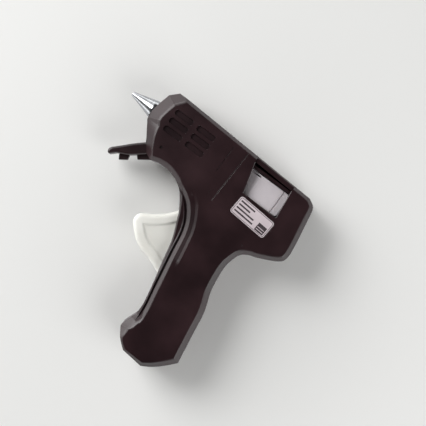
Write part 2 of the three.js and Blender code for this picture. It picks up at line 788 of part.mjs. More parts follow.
function meltChamber() {
  const outside = CHAMBER_DIAMETER / 2;
  const body = turned([
    [chamberFront, boreRadius],
    [chamberFront, outside],
    [chamberRear, outside],
    [chamberRear, spigotDiameter / 2],
    [chamberRear + CHAMBER_SPIGOT_LENGTH, spigotDiameter / 2],
    [chamberRear + CHAMBER_SPIGOT_LENGTH, boreRadius],
  ]);
  const halfWidth = POCKET_WIDTH / 2 + POCKET_WALL;
  const shoulder = -CHAMBER_DIAMETER / 4;
  const box = block(
    corner(pocketFront, pocketBottom - POCKET_WALL, -halfWidth),
    corner(pocketRear, shoulder, halfWidth),
  );
  const slot = block(
    corner(pocketFront - OVERRUN, pocketBottom, -POCKET_WIDTH / 2),
    corner(pocketRear + OVERRUN, pocketTop, POCKET_WIDTH / 2),
  );
  const bore = lyingBar(STICK_BORE, chamberFront - OVERRUN, sleeveRear);
  return cut(joined([body, box]), [bore, slot]);
}

function insulationSleeve() {
  const front = pocketFront - FILM_OVERHANG;
  const rear = pocketRear + FILM_OVERHANG;
  const half = POCKET_WIDTH / 2 - FILM_GAP;
  const low = pocketBottom + FILM_GAP;
  const high = pocketTop - FILM_GAP;
  const outside = block(corner(front, low, -half), corner(rear, high, half));
  const inside = block(
    corner(front - OVERRUN, low + FILM_THICKNESS, FILM_THICKNESS - half),
    corner(rear + OVERRUN, high - FILM_THICKNESS, half - FILM_THICKNESS),
  );
  return outside.subtract(inside);
}

function electrode(top) {
  const low = top - PLATE_THICKNESS;
  const plate = block(
    corner(pocketFront, low, -plateHalfWidth),
    corner(pocketRear, top, plateHalfWidth),
  );
  const tab = block(
    corner(pocketRear - OVERRUN, low, -PLATE_TAB_WIDTH / 2),
    corner(tabRear, top, PLATE_TAB_WIDTH / 2),
  );
  return plate.add(tab);
}

function heaterPill() {
  const end = PLATE_TAB_WIDTH / 2;
  return block(
    corner(pocketFront + end, pillTop - PILL_THICKNESS, -plateHalfWidth),
    corner(pocketRear - end, pillTop, plateHalfWidth),
  );
}

function frontCollar() {
  return ring(frontCollarAt, frontCollarAt + COLLAR_LENGTH, collarBore / 2, collarDiameter / 2);
}

// The rear collar is open below, where the heater's tabs and leads pass.
function rearCollar() {
  const whole = ring(rearCollarAt, chamberRear, collarBore / 2, collarDiameter / 2);
  const opening = block(
    corner(rearCollarAt - OVERRUN, -collarDiameter, -COLLAR_OPENING / 2),
    corner(chamberRear + OVERRUN, -boreRadius, COLLAR_OPENING / 2),
  );
  return whole.subtract(opening);
}

const sleeveRibAt = (sleeveFront + sleeveRear + COLLAR_LENGTH) / 2 - SEAT_GAP;

function feedSleeve() {
  const spigotEnd = chamberRear + CHAMBER_SPIGOT_LENGTH + SEAT_GAP;
  const ribFront = sleeveRibAt - SEAT_GAP;
  const ribRear = sleeveRibAt + WALL + SEAT_GAP;
  const waist = sleeveWaist / 2;
  return turned([
    [sleeveFront, spigotDiameter / 2 + SEAT_GAP],
    [sleeveFront, sleeveDiameter / 2],
    [spigotEnd + SLEEVE_WALL, sleeveDiameter / 2],
    [ribFront, waist],
    [ribRear, waist],
    [ribRear, waist + SLEEVE_FLARE],
    [sleeveRear, waist + SLEEVE_FLARE],
    [sleeveRear, boreRadius + SLEEVE_FLARE],
    [ribRear, boreRadius],
    [spigotEnd, boreRadius],
    [spigotEnd, spigotDiameter / 2 + SEAT_GAP],
  ]);
}

function sleeveClip() {
  const front = sleeveFront + SLEEVE_WALL;
  const inside = sleeveDiameter / 2 + FILM_GAP;
  const whole = ring(front, front + CLIP_WIDTH, inside, inside + CLIP_THICKNESS);
  const opening = block(
    corner(sleeveFront, 0, -CLIP_OPENING / 2),
    corner(sleeveRear, sleeveDiameter, CLIP_OPENING / 2),
  );
  return whole.subtract(opening);
}

// Carriage and clamp

const clampPivot = new THREE.Vector2(carriageFront + CLAMP_SETBACK, carriageBottom + CLAMP_RISE);
const clampSlotHalf = CLAMP_THICKNESS / 2 + 2 * SEAT_GAP;
const lugInside = LEVER_THICKNESS / 2 + RUNNING_GAP + SEAT_GAP;
const lugOutside = lugInside + LUG_THICKNESS;
const clampPinHalf = lugOutside + SEAT_GAP;

function lug() {
  const body = block(
    corner(drivePlace.x - LUG_LENGTH / 2, carriageBottom - LUG_DROP, lugInside),
    corner(drivePlace.x + LUG_LENGTH / 2, carriageBottom + SEAT_GAP, lugOutside),
  );
  const half = LINK_PIN_DIAMETER / 2 + RUNNING_GAP;
  const slotTop = leverPivot.y + LEVER_ARM + LINK_PIN_DIAMETER / 2 + 2 * RUNNING_GAP;
  const slot = block(
    corner(drivePlace.x - half, 0, 0),
    corner(drivePlace.x + half, slotTop, HALF_WIDTH),
  );
  return body.subtract(slot);
}

function carriage() {
  const height = carriageTop - carriageBottom;
  const middle = new THREE.Vector2(
    (carriageFront + carriageRear) / 2,
    (carriageTop + carriageBottom) / 2,
  );
  const half = CARRIAGE_WIDTH / 2;
  const side = roundedRectangle(CARRIAGE_LENGTH, height, CARRIAGE_CORNER);
  const body = moved(softPrism(side, half, CARRIAGE_BEVEL, 2), middle);
  const slopeFront = carriageFront + CARRIAGE_SLOPE_START;
  const slopeRear = slopeFront + CARRIAGE_SLOPE_LENGTH;
  const slope = standing(
    polygon([
      new THREE.Vector2(carriageFront - OVERRUN, half - CARRIAGE_SLOPE_DEPTH),
      new THREE.Vector2(slopeFront, half - CARRIAGE_SLOPE_DEPTH),
      new THREE.Vector2(slopeRear, half),
      new THREE.Vector2(slopeRear, half + OVERRUN),
      new THREE.Vector2(carriageFront - OVERRUN, half + OVERRUN),
    ]),
    carriageBottom - OVERRUN,
    carriageTop + OVERRUN,
  );
  const grooveRear = carriageRear - CARRIAGE_TAB_LENGTH;
  const groove = block(
    corner(grooveRear - CARRIAGE_GROOVE, carriageBottom - OVERRUN, half - CARRIAGE_GROOVE),
    corner(grooveRear, carriageTop + OVERRUN, half + OVERRUN),
  );
  const bore = moved(
    lyingBar(STICK_BORE, carriageFront - OVERRUN, carriageRear + OVERRUN),
    lineUp(),
  );
  const clampSlot = block(
    corner(carriageFront - OVERRUN, carriageBottom - OVERRUN, -clampSlotHalf),
    corner(carriageFront + CLAMP_SLOT_LENGTH, BARREL_Y, clampSlotHalf),
  );
  const pinLength = clampPinHalf + SEAT_GAP;
  const pinHole = moved(bar(CLAMP_PIN_DIAMETER + 2 * SEAT_GAP, -pinLength, pinLength), clampPivot);
  const solid = joined([body, lug(), lug().mirror([0, 0, 1])]);
  return cut(solid, [slope, groove, bore, clampSlot, pinHole]);
}

function stickClamp() {
  const shape = polygon(clampShares.map(([x, y]) => new THREE.Vector2(x, y).multiplyScalar(CLAMP_TAIL)));
  const half = CLAMP_THICKNESS / 2;
  const body = joined([prism(shape, -half, half), bar(CLAMP_HUB_DIAMETER, -half, half)]);
  return body.subtract(bar(CLAMP_PIN_DIAMETER + 2 * SEAT_GAP, -CLAMP_TAIL, CLAMP_TAIL));
}

// Trigger, lever and their pins

const pinHalf = INNER_HALF_WIDTH - SEAT_GAP;
const linkPinHalf = TRIGGER_WIDTH / 2 - SEAT_GAP;
const drivePinHalf = lugOutside + SEAT_GAP;
const linkPlace = new THREE.Vector2(linkRadius, 0).rotateAround(new THREE.Vector2(), linkAngle);

function onTrigger([x, y]) {
  return new THREE.Vector2(x, y).multiplyScalar(triggerReach);
}

function trigger() {
  const half = TRIGGER_WIDTH / 2;
  const shape = outline(triggerStartShare, triggerOutlineShares, onTrigger);
  const body = softPrism(shape, half, triggerBevel, 2);
  const hollowHalf = half - TRIGGER_WALL;
  const hollow = prism(drawnIn(shape, TRIGGER_WALL, 2), -hollowHalf, hollowHalf);
  const open = prism(polygon(triggerOpenShares.map(onTrigger)), -hollowHalf, hollowHalf);
  const panel = prism(polygon(triggerPanelShares.map(onTrigger)), half - TRIGGER_RECESS, HALF_WIDTH);
  const shell = cut(body, [hollow, open, panel, panel.mirror([0, 0, 1])]);
  const hub = bar(TRIGGER_HUB_DIAMETER, -half, half, ROUND_SIDES);
  const pivotHole = bar(PIVOT_PIN_DIAMETER + 2 * RUNNING_GAP, -HALF_WIDTH, HALF_WIDTH);
  const linkHole = moved(bar(LINK_PIN_DIAMETER + 2 * SEAT_GAP, -HALF_WIDTH, HALF_WIDTH), linkPlace);
  return cut(shell.add(hub), [pivotHole, linkHole]);
}

// The lever stands upright here; the group that holds it turns it to its rest angle.
function feedLever() {
  const half = LEVER_THICKNESS / 2;
  const end = LEVER_END_DIAMETER / 2;
  const hub = LEVER_HUB_DIAMETER / 2;
  const slotHalf = LINK_PIN_DIAMETER / 2 + RUNNING_GAP;
  const forkHalf = slotHalf + LEVER_FORK_WALL;
  const arm = polygon([
    new THREE.Vector2(-end, LEVER_ARM),
    new THREE.Vector2(-hub, 0),
    new THREE.Vector2(-forkHalf, -hub),
    new THREE.Vector2(-forkHalf, -LEVER_FORK_LENGTH),
    new THREE.Vector2(forkHalf, -LEVER_FORK_LENGTH),
    new THREE.Vector2(forkHalf, -hub),
    new THREE.Vector2(hub, 0),
    new THREE.Vector2(end, LEVER_ARM),
  ]);
  const driveEnd = new THREE.Vector2(0, LEVER_ARM);
  const post = new THREE.Vector2(0, leverPostReach);
  const hubHalf = TRIGGER_WIDTH / 2;
  const solid = joined([
    prism(arm, -half, half),
    moved(bar(LEVER_END_DIAMETER, -half, half), driveEnd),
    bar(LEVER_HUB_DIAMETER, -hubHalf, hubHalf, ROUND_SIDES),
    moved(bar(SPRING_POST_DIAMETER, 0, half + SPRING_POST_LENGTH), post),
  ]);
  const nearest = pivotDistance - linkRadius - LINK_PIN_DIAMETER / 2 - RUNNING_GAP;
  const slot = block(
    corner(-slotHalf, -LEVER_FORK_LENGTH - OVERRUN, -HALF_WIDTH),
    corner(slotHalf, -nearest, HALF_WIDTH),
  );
  const pinHole = bar(PIVOT_PIN_DIAMETER + 2 * RUNNING_GAP, -HALF_WIDTH, HALF_WIDTH);
  const driveHole = moved(bar(LINK_PIN_DIAMETER + 2 * SEAT_GAP, -HALF_WIDTH, HALF_WIDTH), driveEnd);
  return cut(solid, [slot, pinHole, driveHole]);
}

// Springs

// The points of a coil about the x axis, from its front end.
function coil(radius, front, pitch, curls) {
  const count = curls * CURL_STEPS;
  return Array.from({ length: count + 1 }, (_, i) => {
    const angle = (i / CURL_STEPS) * Math.PI * 2;
    const x = front + (i / CURL_STEPS) * pitch;
    return corner(x, radius * Math.cos(angle), radius * Math.sin(angle));
  });
}

// The least gap between stretches of a wire that lie more than half a curl apart.
function leastGap(points, diameter) {
  let least = Infinity;
  points.forEach((point, i) => {
    for (const other of points.slice(i + CURL_STEPS / 2)) {
      least = Math.min(least, point.distanceTo(other) - diameter);
    }
  });
  return least;
}

function wire(name, points, diameter) {
  console.log(`${name}: least gap ${leastGap(points, diameter).toFixed(2)} mm`);
  return tube(points, diameter, WIRE_SIDES, points.length - 1);
}

function valveSpring() {
  const radius = (VALVE_SPRING_DIAMETER - VALVE_WIRE) / 2;
  const reach = ballRadius + FILM_GAP + VALVE_WIRE / 2;
  const rear = ballCentre - Math.sqrt(reach ** 2 - radius ** 2);
  const front = valveFront + FILM_GAP + VALVE_WIRE / 2;
  const points = coil(radius, front, (rear - front) / VALVE_CURLS, VALVE_CURLS);
  const first = points[0].clone().sub(corner(0, 0, VALVE_WIRE));
  const last = points.at(-1).clone().add(corner(0, 0, VALVE_WIRE));
  return wire("valve_spring", [first, ...points, last], VALVE_WIRE);
}

// The return spring about its own axis, with its front hook round the lever's post at x = 0.
function returnSpring() {
  const radius = (SPRING_DIAMETER - SPRING_WIRE) / 2;
  const span = springPost.x - leverPost.x;
  const length = SPRING_CURLS * SPRING_PITCH;
  const front = (span - length) / 2;
  const hookRadius = SPRING_POST_DIAMETER / 2 + FILM_GAP + SPRING_WIRE / 2;
  const hook = hookAngles.map((angle) =>
    corner(hookRadius * Math.cos(angle), hookRadius * Math.sin(angle), 0),
  );
  const reach = corner((front + hookRadius) / 2, radius, 0);
  const frontHook = [...hook, reach];
  const rearHook = frontHook.map((point) => corner(span - point.x, point.y, 0)).reverse();
  const points = [...frontHook, ...coil(radius, front, SPRING_PITCH, SPRING_CURLS), ...rearHook];
  return wire("return_spring", points, SPRING_WIRE);
}

// Screws, label, leads and caps

function screw() {
  const head = bar(SCREW_HEAD_DIAMETER, -SCREW_HEAD_HEIGHT, 0);
  const shank = bar(SCREW_DIAMETER, -SCREW_HEAD_HEIGHT / 2, SCREW_LENGTH);
  const reach = SCREW_HEAD_DIAMETER / 3;
  const low = corner(-reach, -SCREW_RECESS_WIDTH / 2, -SCREW_HEAD_HEIGHT - OVERRUN);
  const high = corner(reach, SCREW_RECESS_WIDTH / 2, SCREW_RECESS_DEPTH - SCREW_HEAD_HEIGHT);
  const arm = block(low, high);
  return cut(head.add(shank), [arm, arm.rotate([0, 0, 90])]);
}

function label() {
  const bottom = HALF_WIDTH - LABEL_RECESS + FILM_GAP;
  const shape = roundedRectangle(LABEL_LENGTH, LABEL_HEIGHT, LABEL_CORNER);
  return prism(shape, bottom, bottom + LABEL_THICKNESS);
}

const rightSeat = INNER_HALF_WIDTH - SEAT_GAP;
const capPlaces = capShares.map(at);

// A crimp cap that stands along y, with a narrower closed end below.
function spliceCap() {
  const outside = CAP_DIAMETER / 2;
  const neck = CAP_NECK_DIAMETER / 2;
  const points = [
    new THREE.Vector2(0, -CAP_LENGTH / 2),
    new THREE.Vector2(neck, -CAP_LENGTH / 2),
    new THREE.Vector2(outside, -CAP_LENGTH / 4),
    new THREE.Vector2(outside, CAP_LENGTH / 2),
    new THREE.Vector2(0, CAP_LENGTH / 2),
  ];
  return solidOf(new THREE.LatheGeometry(points, COARSE_SIDES));
}

function lead(number, electrodeTop, drop) {
  const seat = rightSeat - LEAD_DIAMETER / 2;
  const start = corner(
    tabRear + SEAT_GAP,
    BARREL_Y + electrodeTop - PLATE_THICKNESS / 2 - drop,
    0,
  );
  const middle = leadShares[number].map(([x, y, share]) => {
    const place = at([x, y]);
    return corner(place.x, place.y, -seat * share);
  });
  const cap = capPlaces[number];
  const end = corner(cap.x, cap.y + CAP_LENGTH / 2 + SEAT_GAP, -seat);
  const straight = end.clone().add(corner(0, 2 * LEAD_DIAMETER, 0));
  const points = [start, ...middle, straight, end];
  return tube(points, LEAD_DIAMETER, LEAD_SIDES, 2 * points.length);
}

// The assembly

function held(pieces, place, z = 0, turn = 0) {
  const group = new THREE.Group();
  group.position.set(place.x, place.y, z);
  group.rotation.z = turn;
  group.add(...pieces);
  return group;
}

const barrel = held(
  [
    piece("nozzle", nozzle(), brightMetal),
    piece("valve_ball", valveBall(), steel),
    piece("valve_seat", valveSeat(), brass),
    piece("valve_spring", valveSpring(), steel),
    piece("melt_chamber", meltChamber(), castMetal),
    piece("front_collar", frontCollar(), phenolic),
    piece("rear_collar", rearCollar(), phenolic),
    piece("insulation_sleeve", insulationSleeve(), film),
    piece("heater_pill", heaterPill(), ceramic),
    piece("electrode_upper", electrode(upperPlateTop), brass),
    piece("electrode_lower", electrode(lowerPlateTop), brass),
    piece("feed_sleeve", feedSleeve(), silicone),
    piece("sleeve_clip", sleeveClip(), steel),
  ],
  lineUp(),
);

const triggerParts = held(
  [
    piece("trigger", trigger(), triggerWhite),
    piece("link_pin", moved(bar(LINK_PIN_DIAMETER, -linkPinHalf, linkPinHalf), linkPlace), steel),
  ],
  triggerPivot,
);

const drivePinPlace = new THREE.Vector2(0, LEVER_ARM);
const leverParts = held(
  [
    piece("feed_lever", feedLever(), carriageWhite),
    piece(
      "drive_pin",
      moved(bar(LINK_PIN_DIAMETER, -drivePinHalf, drivePinHalf), drivePinPlace),
      steel,
    ),
  ],
  leverPivot,
  0,
  leverAngle - Math.PI / 2,
);

const clampParts = held(
  [
    piece("stick_clamp", stickClamp(), steel),
    piece("clamp_pin", bar(CLAMP_PIN_DIAMETER, -clampPinHalf, clampPinHalf), steel),
  ],
  clampPivot,
);

const springAxisHeight = LEVER_THICKNESS / 2 + (SPRING_POST_LENGTH + SPRING_WIRE) / 2;
const spring = held(
  [piece("return_spring", returnSpring(), steel)],
  leverPost,
  springAxisHeight,
);

const labelPlate = held([piece("label", label(), labelSilver)], at(labelCentreShare));
labelPlate.rotation.z = LABEL_TILT;

const pivotPins = [
  ["trigger_pin", triggerPivot],
  ["lever_pin", leverPivot],
].map(([name, place]) => held([piece(name, bar(PIVOT_PIN_DIAMETER, -pinHalf, pinHalf), steel)], place));

const screws = screwPlaces.map(([name, place]) =>
  held([piece(name, screw(), steel)], place, screwSeat),
);

const leads = [
  piece("heater_lead_1", lead(0, lowerPlateTop, 0), glassSleeve),
  piece("heater_lead_2", lead(1, upperPlateTop, LEAD_DIAMETER / 4), glassSleeve),
];

const caps = capPlaces.map((place, i) =>
  held([piece(`splice_cap_${i + 1}`, spliceCap(), capWhite)], place, CAP_DIAMETER / 2 - rightSeat),
);

const gun = new THREE.Group();
gun.add(
  piece("housing_left", housingLeft(), shellBlack),
  piece("housing_right", housingRight(), shellBlack),
  piece("carriage", carriage(), carriageWhite),
  barrel,
  triggerParts,
  leverParts,
  clampParts,
  spring,
  labelPlate,
  ...pivotPins,
  ...screws,
  ...leads,
  ...caps,
);

const box = new THREE.Box3().setFromObject(gun, true);
const middle = box.getCenter(new THREE.Vector3());
gun.position.set(-middle.x, -middle.y, -box.min.z);
gun.updateMatrixWorld(true);

export default gun;
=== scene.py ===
# A small trigger-fed hot glue gun that lies on its right side.
#
# The gun's own drawing runs x back from the nose face, y up from the butt and z out of the left side
# from the parting plane of the two shells, in millimetres. It is placed by the nozzle's tip, the butt
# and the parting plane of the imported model.

import math

import bmesh
import bpy
import numpy as np
from mathutils import Matrix, Vector, geometry


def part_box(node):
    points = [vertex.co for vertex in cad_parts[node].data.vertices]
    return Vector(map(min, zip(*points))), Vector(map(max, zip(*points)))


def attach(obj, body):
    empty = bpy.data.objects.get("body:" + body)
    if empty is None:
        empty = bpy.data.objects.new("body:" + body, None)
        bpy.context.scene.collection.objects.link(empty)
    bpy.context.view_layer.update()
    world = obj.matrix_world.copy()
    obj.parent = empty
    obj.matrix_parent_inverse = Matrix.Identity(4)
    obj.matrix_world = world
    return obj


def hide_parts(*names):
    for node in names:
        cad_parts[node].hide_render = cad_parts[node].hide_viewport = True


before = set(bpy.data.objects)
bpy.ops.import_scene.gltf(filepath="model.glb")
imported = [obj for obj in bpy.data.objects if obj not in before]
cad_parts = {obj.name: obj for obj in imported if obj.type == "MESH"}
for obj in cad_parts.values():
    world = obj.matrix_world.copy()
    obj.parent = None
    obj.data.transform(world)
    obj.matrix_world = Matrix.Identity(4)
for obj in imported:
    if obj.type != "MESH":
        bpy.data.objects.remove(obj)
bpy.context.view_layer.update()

MM = 0.001
NOZZLE_EXPOSED = 14.7
body_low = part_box("housing_left")[0]
nozzle_low, nozzle_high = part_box("nozzle")
drawing_origin = Vector((
    nozzle_low.x + NOZZLE_EXPOSED * MM,
    body_low.y,
    (body_low.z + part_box("housing_right")[1].z) / 2,
))
AXIS_Y = ((nozzle_low.y + nozzle_high.y) / 2 - drawing_origin.y) / MM


def to_frame(x, y, z):
    return drawing_origin + Vector((x, y, z)) * MM


def drawn_box(node):
    low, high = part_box(node)
    return (low - drawing_origin) / MM, (high - drawing_origin) / MM


# Camera and light. The photograph looks straight down on the gun's left side, with the barrel rolled
# up to the left. A soft lamp at the upper left lights it, and a weaker one fills in from the far side.

IMAGE_SIDE = 426
MM_PER_PIXEL = 0.545
PHOTO_ROLL = math.radians(36.5)
PHOTO_CENTRE = (59.2, 88.84)
LENS = 100
SENSOR = 36


def linear(hex_colour):
    """An sRGB colour such as "#2A171B" as linear red, green and blue."""
    parts = [int(hex_colour[i:i + 2], 16) / 255 for i in (1, 3, 5)]
    return tuple(c / 12.92 if c <= 0.04045 else ((c + 0.055) / 1.055) ** 2.4 for c in parts)


def add(tree, kind, values=None):
    """One node. Its values are settings, or the nodes and sockets that its inputs are linked from."""
    node = tree.nodes.new(kind)
    for key, value in (values or {}).items():
        source = value.outputs[0] if isinstance(value, bpy.types.Node) else value
        if isinstance(source, bpy.types.NodeSocket):
            tree.links.new(source, node.inputs[key])
        elif isinstance(key, int) or key in node.inputs:
            node.inputs[key].default_value = source
        else:
            setattr(node, key, source)
    return node


def new_object(name, data):
    obj = bpy.data.objects.new(name, data)
    bpy.context.scene.collection.objects.link(obj)
    return obj


camera_data = bpy.data.cameras.new("camera")
camera_data.lens = LENS
camera_data.sensor_width = SENSOR
camera = new_object("camera", camera_data)
camera_height = LENS / SENSOR * IMAGE_SIDE * MM_PER_PIXEL
camera.location = to_frame(*PHOTO_CENTRE, camera_height)
camera.rotation_euler = (0, 0, PHOTO_ROLL)
bpy.context.scene.camera = camera

# Each lamp: how far it stands to the upper left, how high, how wide, in metres, and its power in watts.
LAMPS = {"key_lamp": (0.55, 0.55, 0.45, 3.0), "fill_lamp": (-0.6, 0.5, 0.6, 2.3)}
sin_roll, cos_roll = math.sin(PHOTO_ROLL), math.cos(PHOTO_ROLL)
up_left = Vector((-sin_roll - cos_roll, cos_roll - sin_roll, 0)).normalized()
for name, (aside, above, size, power) in LAMPS.items():
    data = bpy.data.lights.new(name, "AREA")
    data.shape = "DISK"
    data.size = size
    data.energy = power
    lamp = new_object(name, data)
    lamp.location = up_left * aside + Vector((0, 0, above))
    lamp.rotation_mode = "QUATERNION"
    lamp.rotation_quaternion = (-lamp.location).to_track_quat("-Z", "Y")

# The room is a white tent, dim overhead and bright low round its walls, most of all beyond the nozzle,
# so that the rounded edges pick up a pale line. Below the floor it is as pale as the floor.
OVERHEAD_LEVEL = 0.05
WALL_LEVEL = 2.7
WALL_FADE = (0.05, 0.45)
FLOOR_LEVEL = 0.7
WINDOW_LEVEL = 3.3
WINDOW_TOWARDS = (-0.96, 0.2, 0.2)
WINDOW_FADE = (0.76, 0.98)


def ranged(tree, source, start, end, low, high):
    """A value that goes from low to high as its source goes from start to end."""
    return add(tree, "ShaderNodeMapRange", {
        "From Min": start, "From Max": end, "To Min": low, "To Max": high, "Value": source})


world = bpy.data.worlds.new("studio")
bpy.context.scene.world = world
world.use_nodes = True
sky = world.node_tree
sky.nodes.clear()
path = add(sky, "ShaderNodeLightPath")
towards = add(sky, "ShaderNodeTexCoord").outputs["Generated"]
upwards = add(sky, "ShaderNodeSeparateXYZ", {0: towards}).outputs["Z"]
wall = ranged(sky, upwards, *WALL_FADE, WALL_LEVEL, OVERHEAD_LEVEL)
ahead = add(sky, "ShaderNodeVectorMath", {"operation": "DOT_PRODUCT", 1: WINDOW_TOWARDS, 0: towards})
window = ranged(sky, ahead.outputs["Value"], *WINDOW_FADE, 0.0, WINDOW_LEVEL)
both = add(sky, "ShaderNodeMath", {"operation": "ADD", 0: wall, 1: window})
below = add(sky, "ShaderNodeMath", {"operation": "LESS_THAN", 1: 0.0, 0: upwards})
room = add(sky, "ShaderNodeMix", {"data_type": "FLOAT", 3: FLOOR_LEVEL, 0: below, 2: both})
tent = add(sky, "ShaderNodeBackground", {"Color": (1, 1, 1, 1), "Strength": room})
white = add(sky, "ShaderNodeBackground", {"Color": (1, 1, 1, 1), "Strength": 1})
seen = add(sky, "ShaderNodeMixShader", {0: path.outputs["Is Camera Ray"], 1: tent, 2: white})
add(sky, "ShaderNodeOutputWorld", {0: seen})

bpy.context.scene.view_settings.view_transform = "Standard"

# The floor is matt paper. It shows only from above, so that the gun can be looked at from below.
FLOOR_HALF = 1.5
FLOOR_DROP = 0.2
floor_mesh = bpy.data.meshes.new("floor")
floor_mesh.from_pydata(
    [(x * FLOOR_HALF, y * FLOOR_HALF, -FLOOR_DROP * MM) for x, y in ((-1, -1), (1, -1), (1, 1), (-1, 1))],
    [], [(0, 1, 2, 3)])
floor = new_object("floor", floor_mesh)
floor_look = bpy.data.materials.new("matt_paper")
floor_look.use_nodes = True
tree = floor_look.node_tree
paper = tree.nodes["Principled BSDF"]
paper.inputs["Base Color"].default_value = (*linear("#EDEDEB"), 1)
paper.inputs["Roughness"].default_value = 0.9
path = add(tree, "ShaderNodeLightPath")
facing = add(tree, "ShaderNodeNewGeometry")
seen = add(tree, "ShaderNodeMath", {
    "operation": "SUBTRACT", "use_clamp": True, 0: path.outputs["Is Camera Ray"],
    1: facing.outputs["Backfacing"]})
clear = add(tree, "ShaderNodeBsdfTransparent")
shown = add(tree, "ShaderNodeMixShader", {0: seen, 1: clear, 2: paper})
tree.links.new(shown.outputs[0], tree.nodes["Material Output"].inputs["Surface"])
floor_mesh.materials.append(floor_look)


# The two shells. Injection-moulded black ABS, 2 mm thick, split along the gun's middle and screwed together
# from the right. Each is drawn as a height over the outline, with rounded edges, a bevelled nose and a finger
# bevel with a gap, a ledge and a scoop. The bosses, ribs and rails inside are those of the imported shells.

HALF_WIDTH = 14.0
PARTING = 0.05
OUTLINE_STEPS = 10
PRONG_HALF_WIDTH = 6.0
NOSE_FACE_HALF = 7.5
PARTING_CHAMFER = 0.15
LEAST_MITRE = 0.5
LEAST_INSET = 0.98
LINE_CLEARANCE = 0.25
DRAWN_MERGE = 1e-4
WELD = 1e-6
TINY = 1e-12

BODY_START = (6.75, 130)
BODY_RUNS = [
    [(96.2, 125.8)],
    [(100.2, 123.4), (101.7, 119.3)],
    [(104.9, 101.4)],
    [(105.5, 93.2), (102.8, 88.8), (93.1, 83.9), (87.5, 81.8), (83.7, 78.5), (81.6, 71.4)],
    [(81.6, 66), (83.1, 55.1), (85.9, 46.9), (87.5, 41.3), (89.1, 30.6), (91.9, 13.1)],
    [(88, 8.7), (82.1, 3.3), (76.6, 0)],
    [(64.1, 1.4)],
    [(59.2, 5.5), (55.9, 9.8), (55.1, 12), (56.4, 16.4), (58.1, 20.7)],
    [(58.1, 26.3), (57, 33.3), (55.3, 41.3), (52.6, 52.3), (49.9, 64.4), (45.5, 75.1)],
    [(43.4, 79.6), (38.5, 86.7), (34.6, 90), (30.3, 92), (24.8, 93.2), (19.4, 93)],
    [(15, 92), (11.2, 93.5)],
    [(7.4, 98.2)],
    [(5.8, 100.8)],
    [(2.5, 105.7), (0.3, 109.6), (0, 113.9), (0.8, 118.8)],
    [(2.5, 125.8)],
]
PRONG_START = (13.7, 104)
PRONG_RUNS = [
    [(7.4, 98.2)],
    [(1.9, 93.2), (-2.4, 88.8), (-6.2, 85)],
    [(-6.9, 83.3), (-6.3, 81.6), (-5.1, 81.3)],
    [(-2.4, 83.9)],
    [(4.1, 87.2), (11.2, 93)],
    [(21.1, 96.9)],
]
PRONG_RIBS = [
    [(-1.1, 85.8), (-0.5, 83.7), (0.8, 81.8), (4.7, 84.5), (3.7, 89.7)],
    [(6.3, 91), (7.4, 89.4), (9, 87.8), (14.5, 91.7), (21.1, 93.6), (10.6, 94.9)],
]
NOSE_LINE = [(7.5, 132), (2.5, 125.8), (0.8, 118.8), (0, 113.9), (0.3, 109.6), (2.5, 105.7), (5.8, 100.8),
             (8.2, 97.2), (11.5, 92.6), (15, 88)]


def spline(points, steps):
    """A uniform Catmull-Rom curve through points, without its first point."""
    made = []
    for i in range(len(points) - 1):
        before = points[max(i - 1, 0)]
        after = points[min(i + 2, len(points) - 1)]
        start, end = np.array(points[i], float), np.array(points[i + 1], float)
        into = (end - before) / 2
        out = (after - start) / 2
        for k in range(1, steps + 1):
            t = k / steps
            made.append(
                (2 * start - 2 * end + into + out) * t ** 3
                + (-3 * start + 3 * end - 2 * into - out) * t ** 2
                + into * t + start)
    return made


def outline(start, runs, steps=OUTLINE_STEPS):
    points = [np.array(start, float)]
    for run in runs:
        if len(run) == 1:
            points.append(np.array(run[0], float))
        else:
            points += spline([points[-1], *run], steps)
    return np.array(points)


def evened(points, spacing, closed=True):
    """The same outline or open path with points no further apart than spacing."""
    made = []
    for a, b in zip(points, np.roll(points, -1, axis=0) if closed else points[1:]):
        count = max(1, math.ceil(np.linalg.norm(b - a) / spacing))
        made += [a + (b - a) * k / count for k in range(count)]
    return np.array(made if closed else [*made, points[-1]])


def signed_area(loop):
    x, y = loop[:, 0], loop[:, 1]
    return np.sum(x * np.roll(y, -1) - y * np.roll(x, -1)) / 2


def unit(vectors):
    return vectors / np.linalg.norm(vectors, axis=1)[:, None]


def turned_left(vectors):
    return np.stack([-vectors[:, 1], vectors[:, 0]], axis=1)


def mitred(loop, distance):
    """Each point of a closed outline moved inwards by a distance."""
    before = unit(loop - np.roll(loop, 1, axis=0))
    after = unit(np.roll(loop, -1, axis=0) - loop)
    mean = unit(before + after)
    inward = turned_left(mean) * np.sign(signed_area(loop))
    stretch = distance / np.maximum(np.sum(mean * after, axis=1), LEAST_MITRE)
    return loop + inward * stretch[:, None]


def gaps_between(points, path):
    """The distance from each point to each point of a path."""
    return np.hypot(points[:, :1] - path[:, 0], points[:, 1:] - path[:, 1])


def distance_to(points, path, closed=True):
    """How far each point lies from a finely stepped path, and how far along it, counted in edges."""
    nearest = gaps_between(points, path).argmin(axis=1)
    least = np.full(len(points), np.inf)
    run = np.zeros(len(points))
    for start in (nearest - 1, nearest):
        start = start % len(path) if closed else np.clip(start, 0, len(path) - 2)
        edge = path[(start + 1) % len(path)] - path[start]
        away = points - path[start]
        share = np.clip(np.sum(away * edge, axis=1) / np.maximum(np.sum(edge ** 2, axis=1), TINY), 0, 1)
        gap = np.linalg.norm(away - share[:, None] * edge, axis=1)
        closer = gap < least
        least[closer] = gap[closer]
        run[closer] = (start + share)[closer]
    return least, run


def inset(loop, distance):
    """A closed outline moved inwards, without the points that come too near its other parts."""
    moved = mitred(loop, distance)
    gap, _ = distance_to(moved, loop)
    return moved[gap > distance * LEAST_INSET]


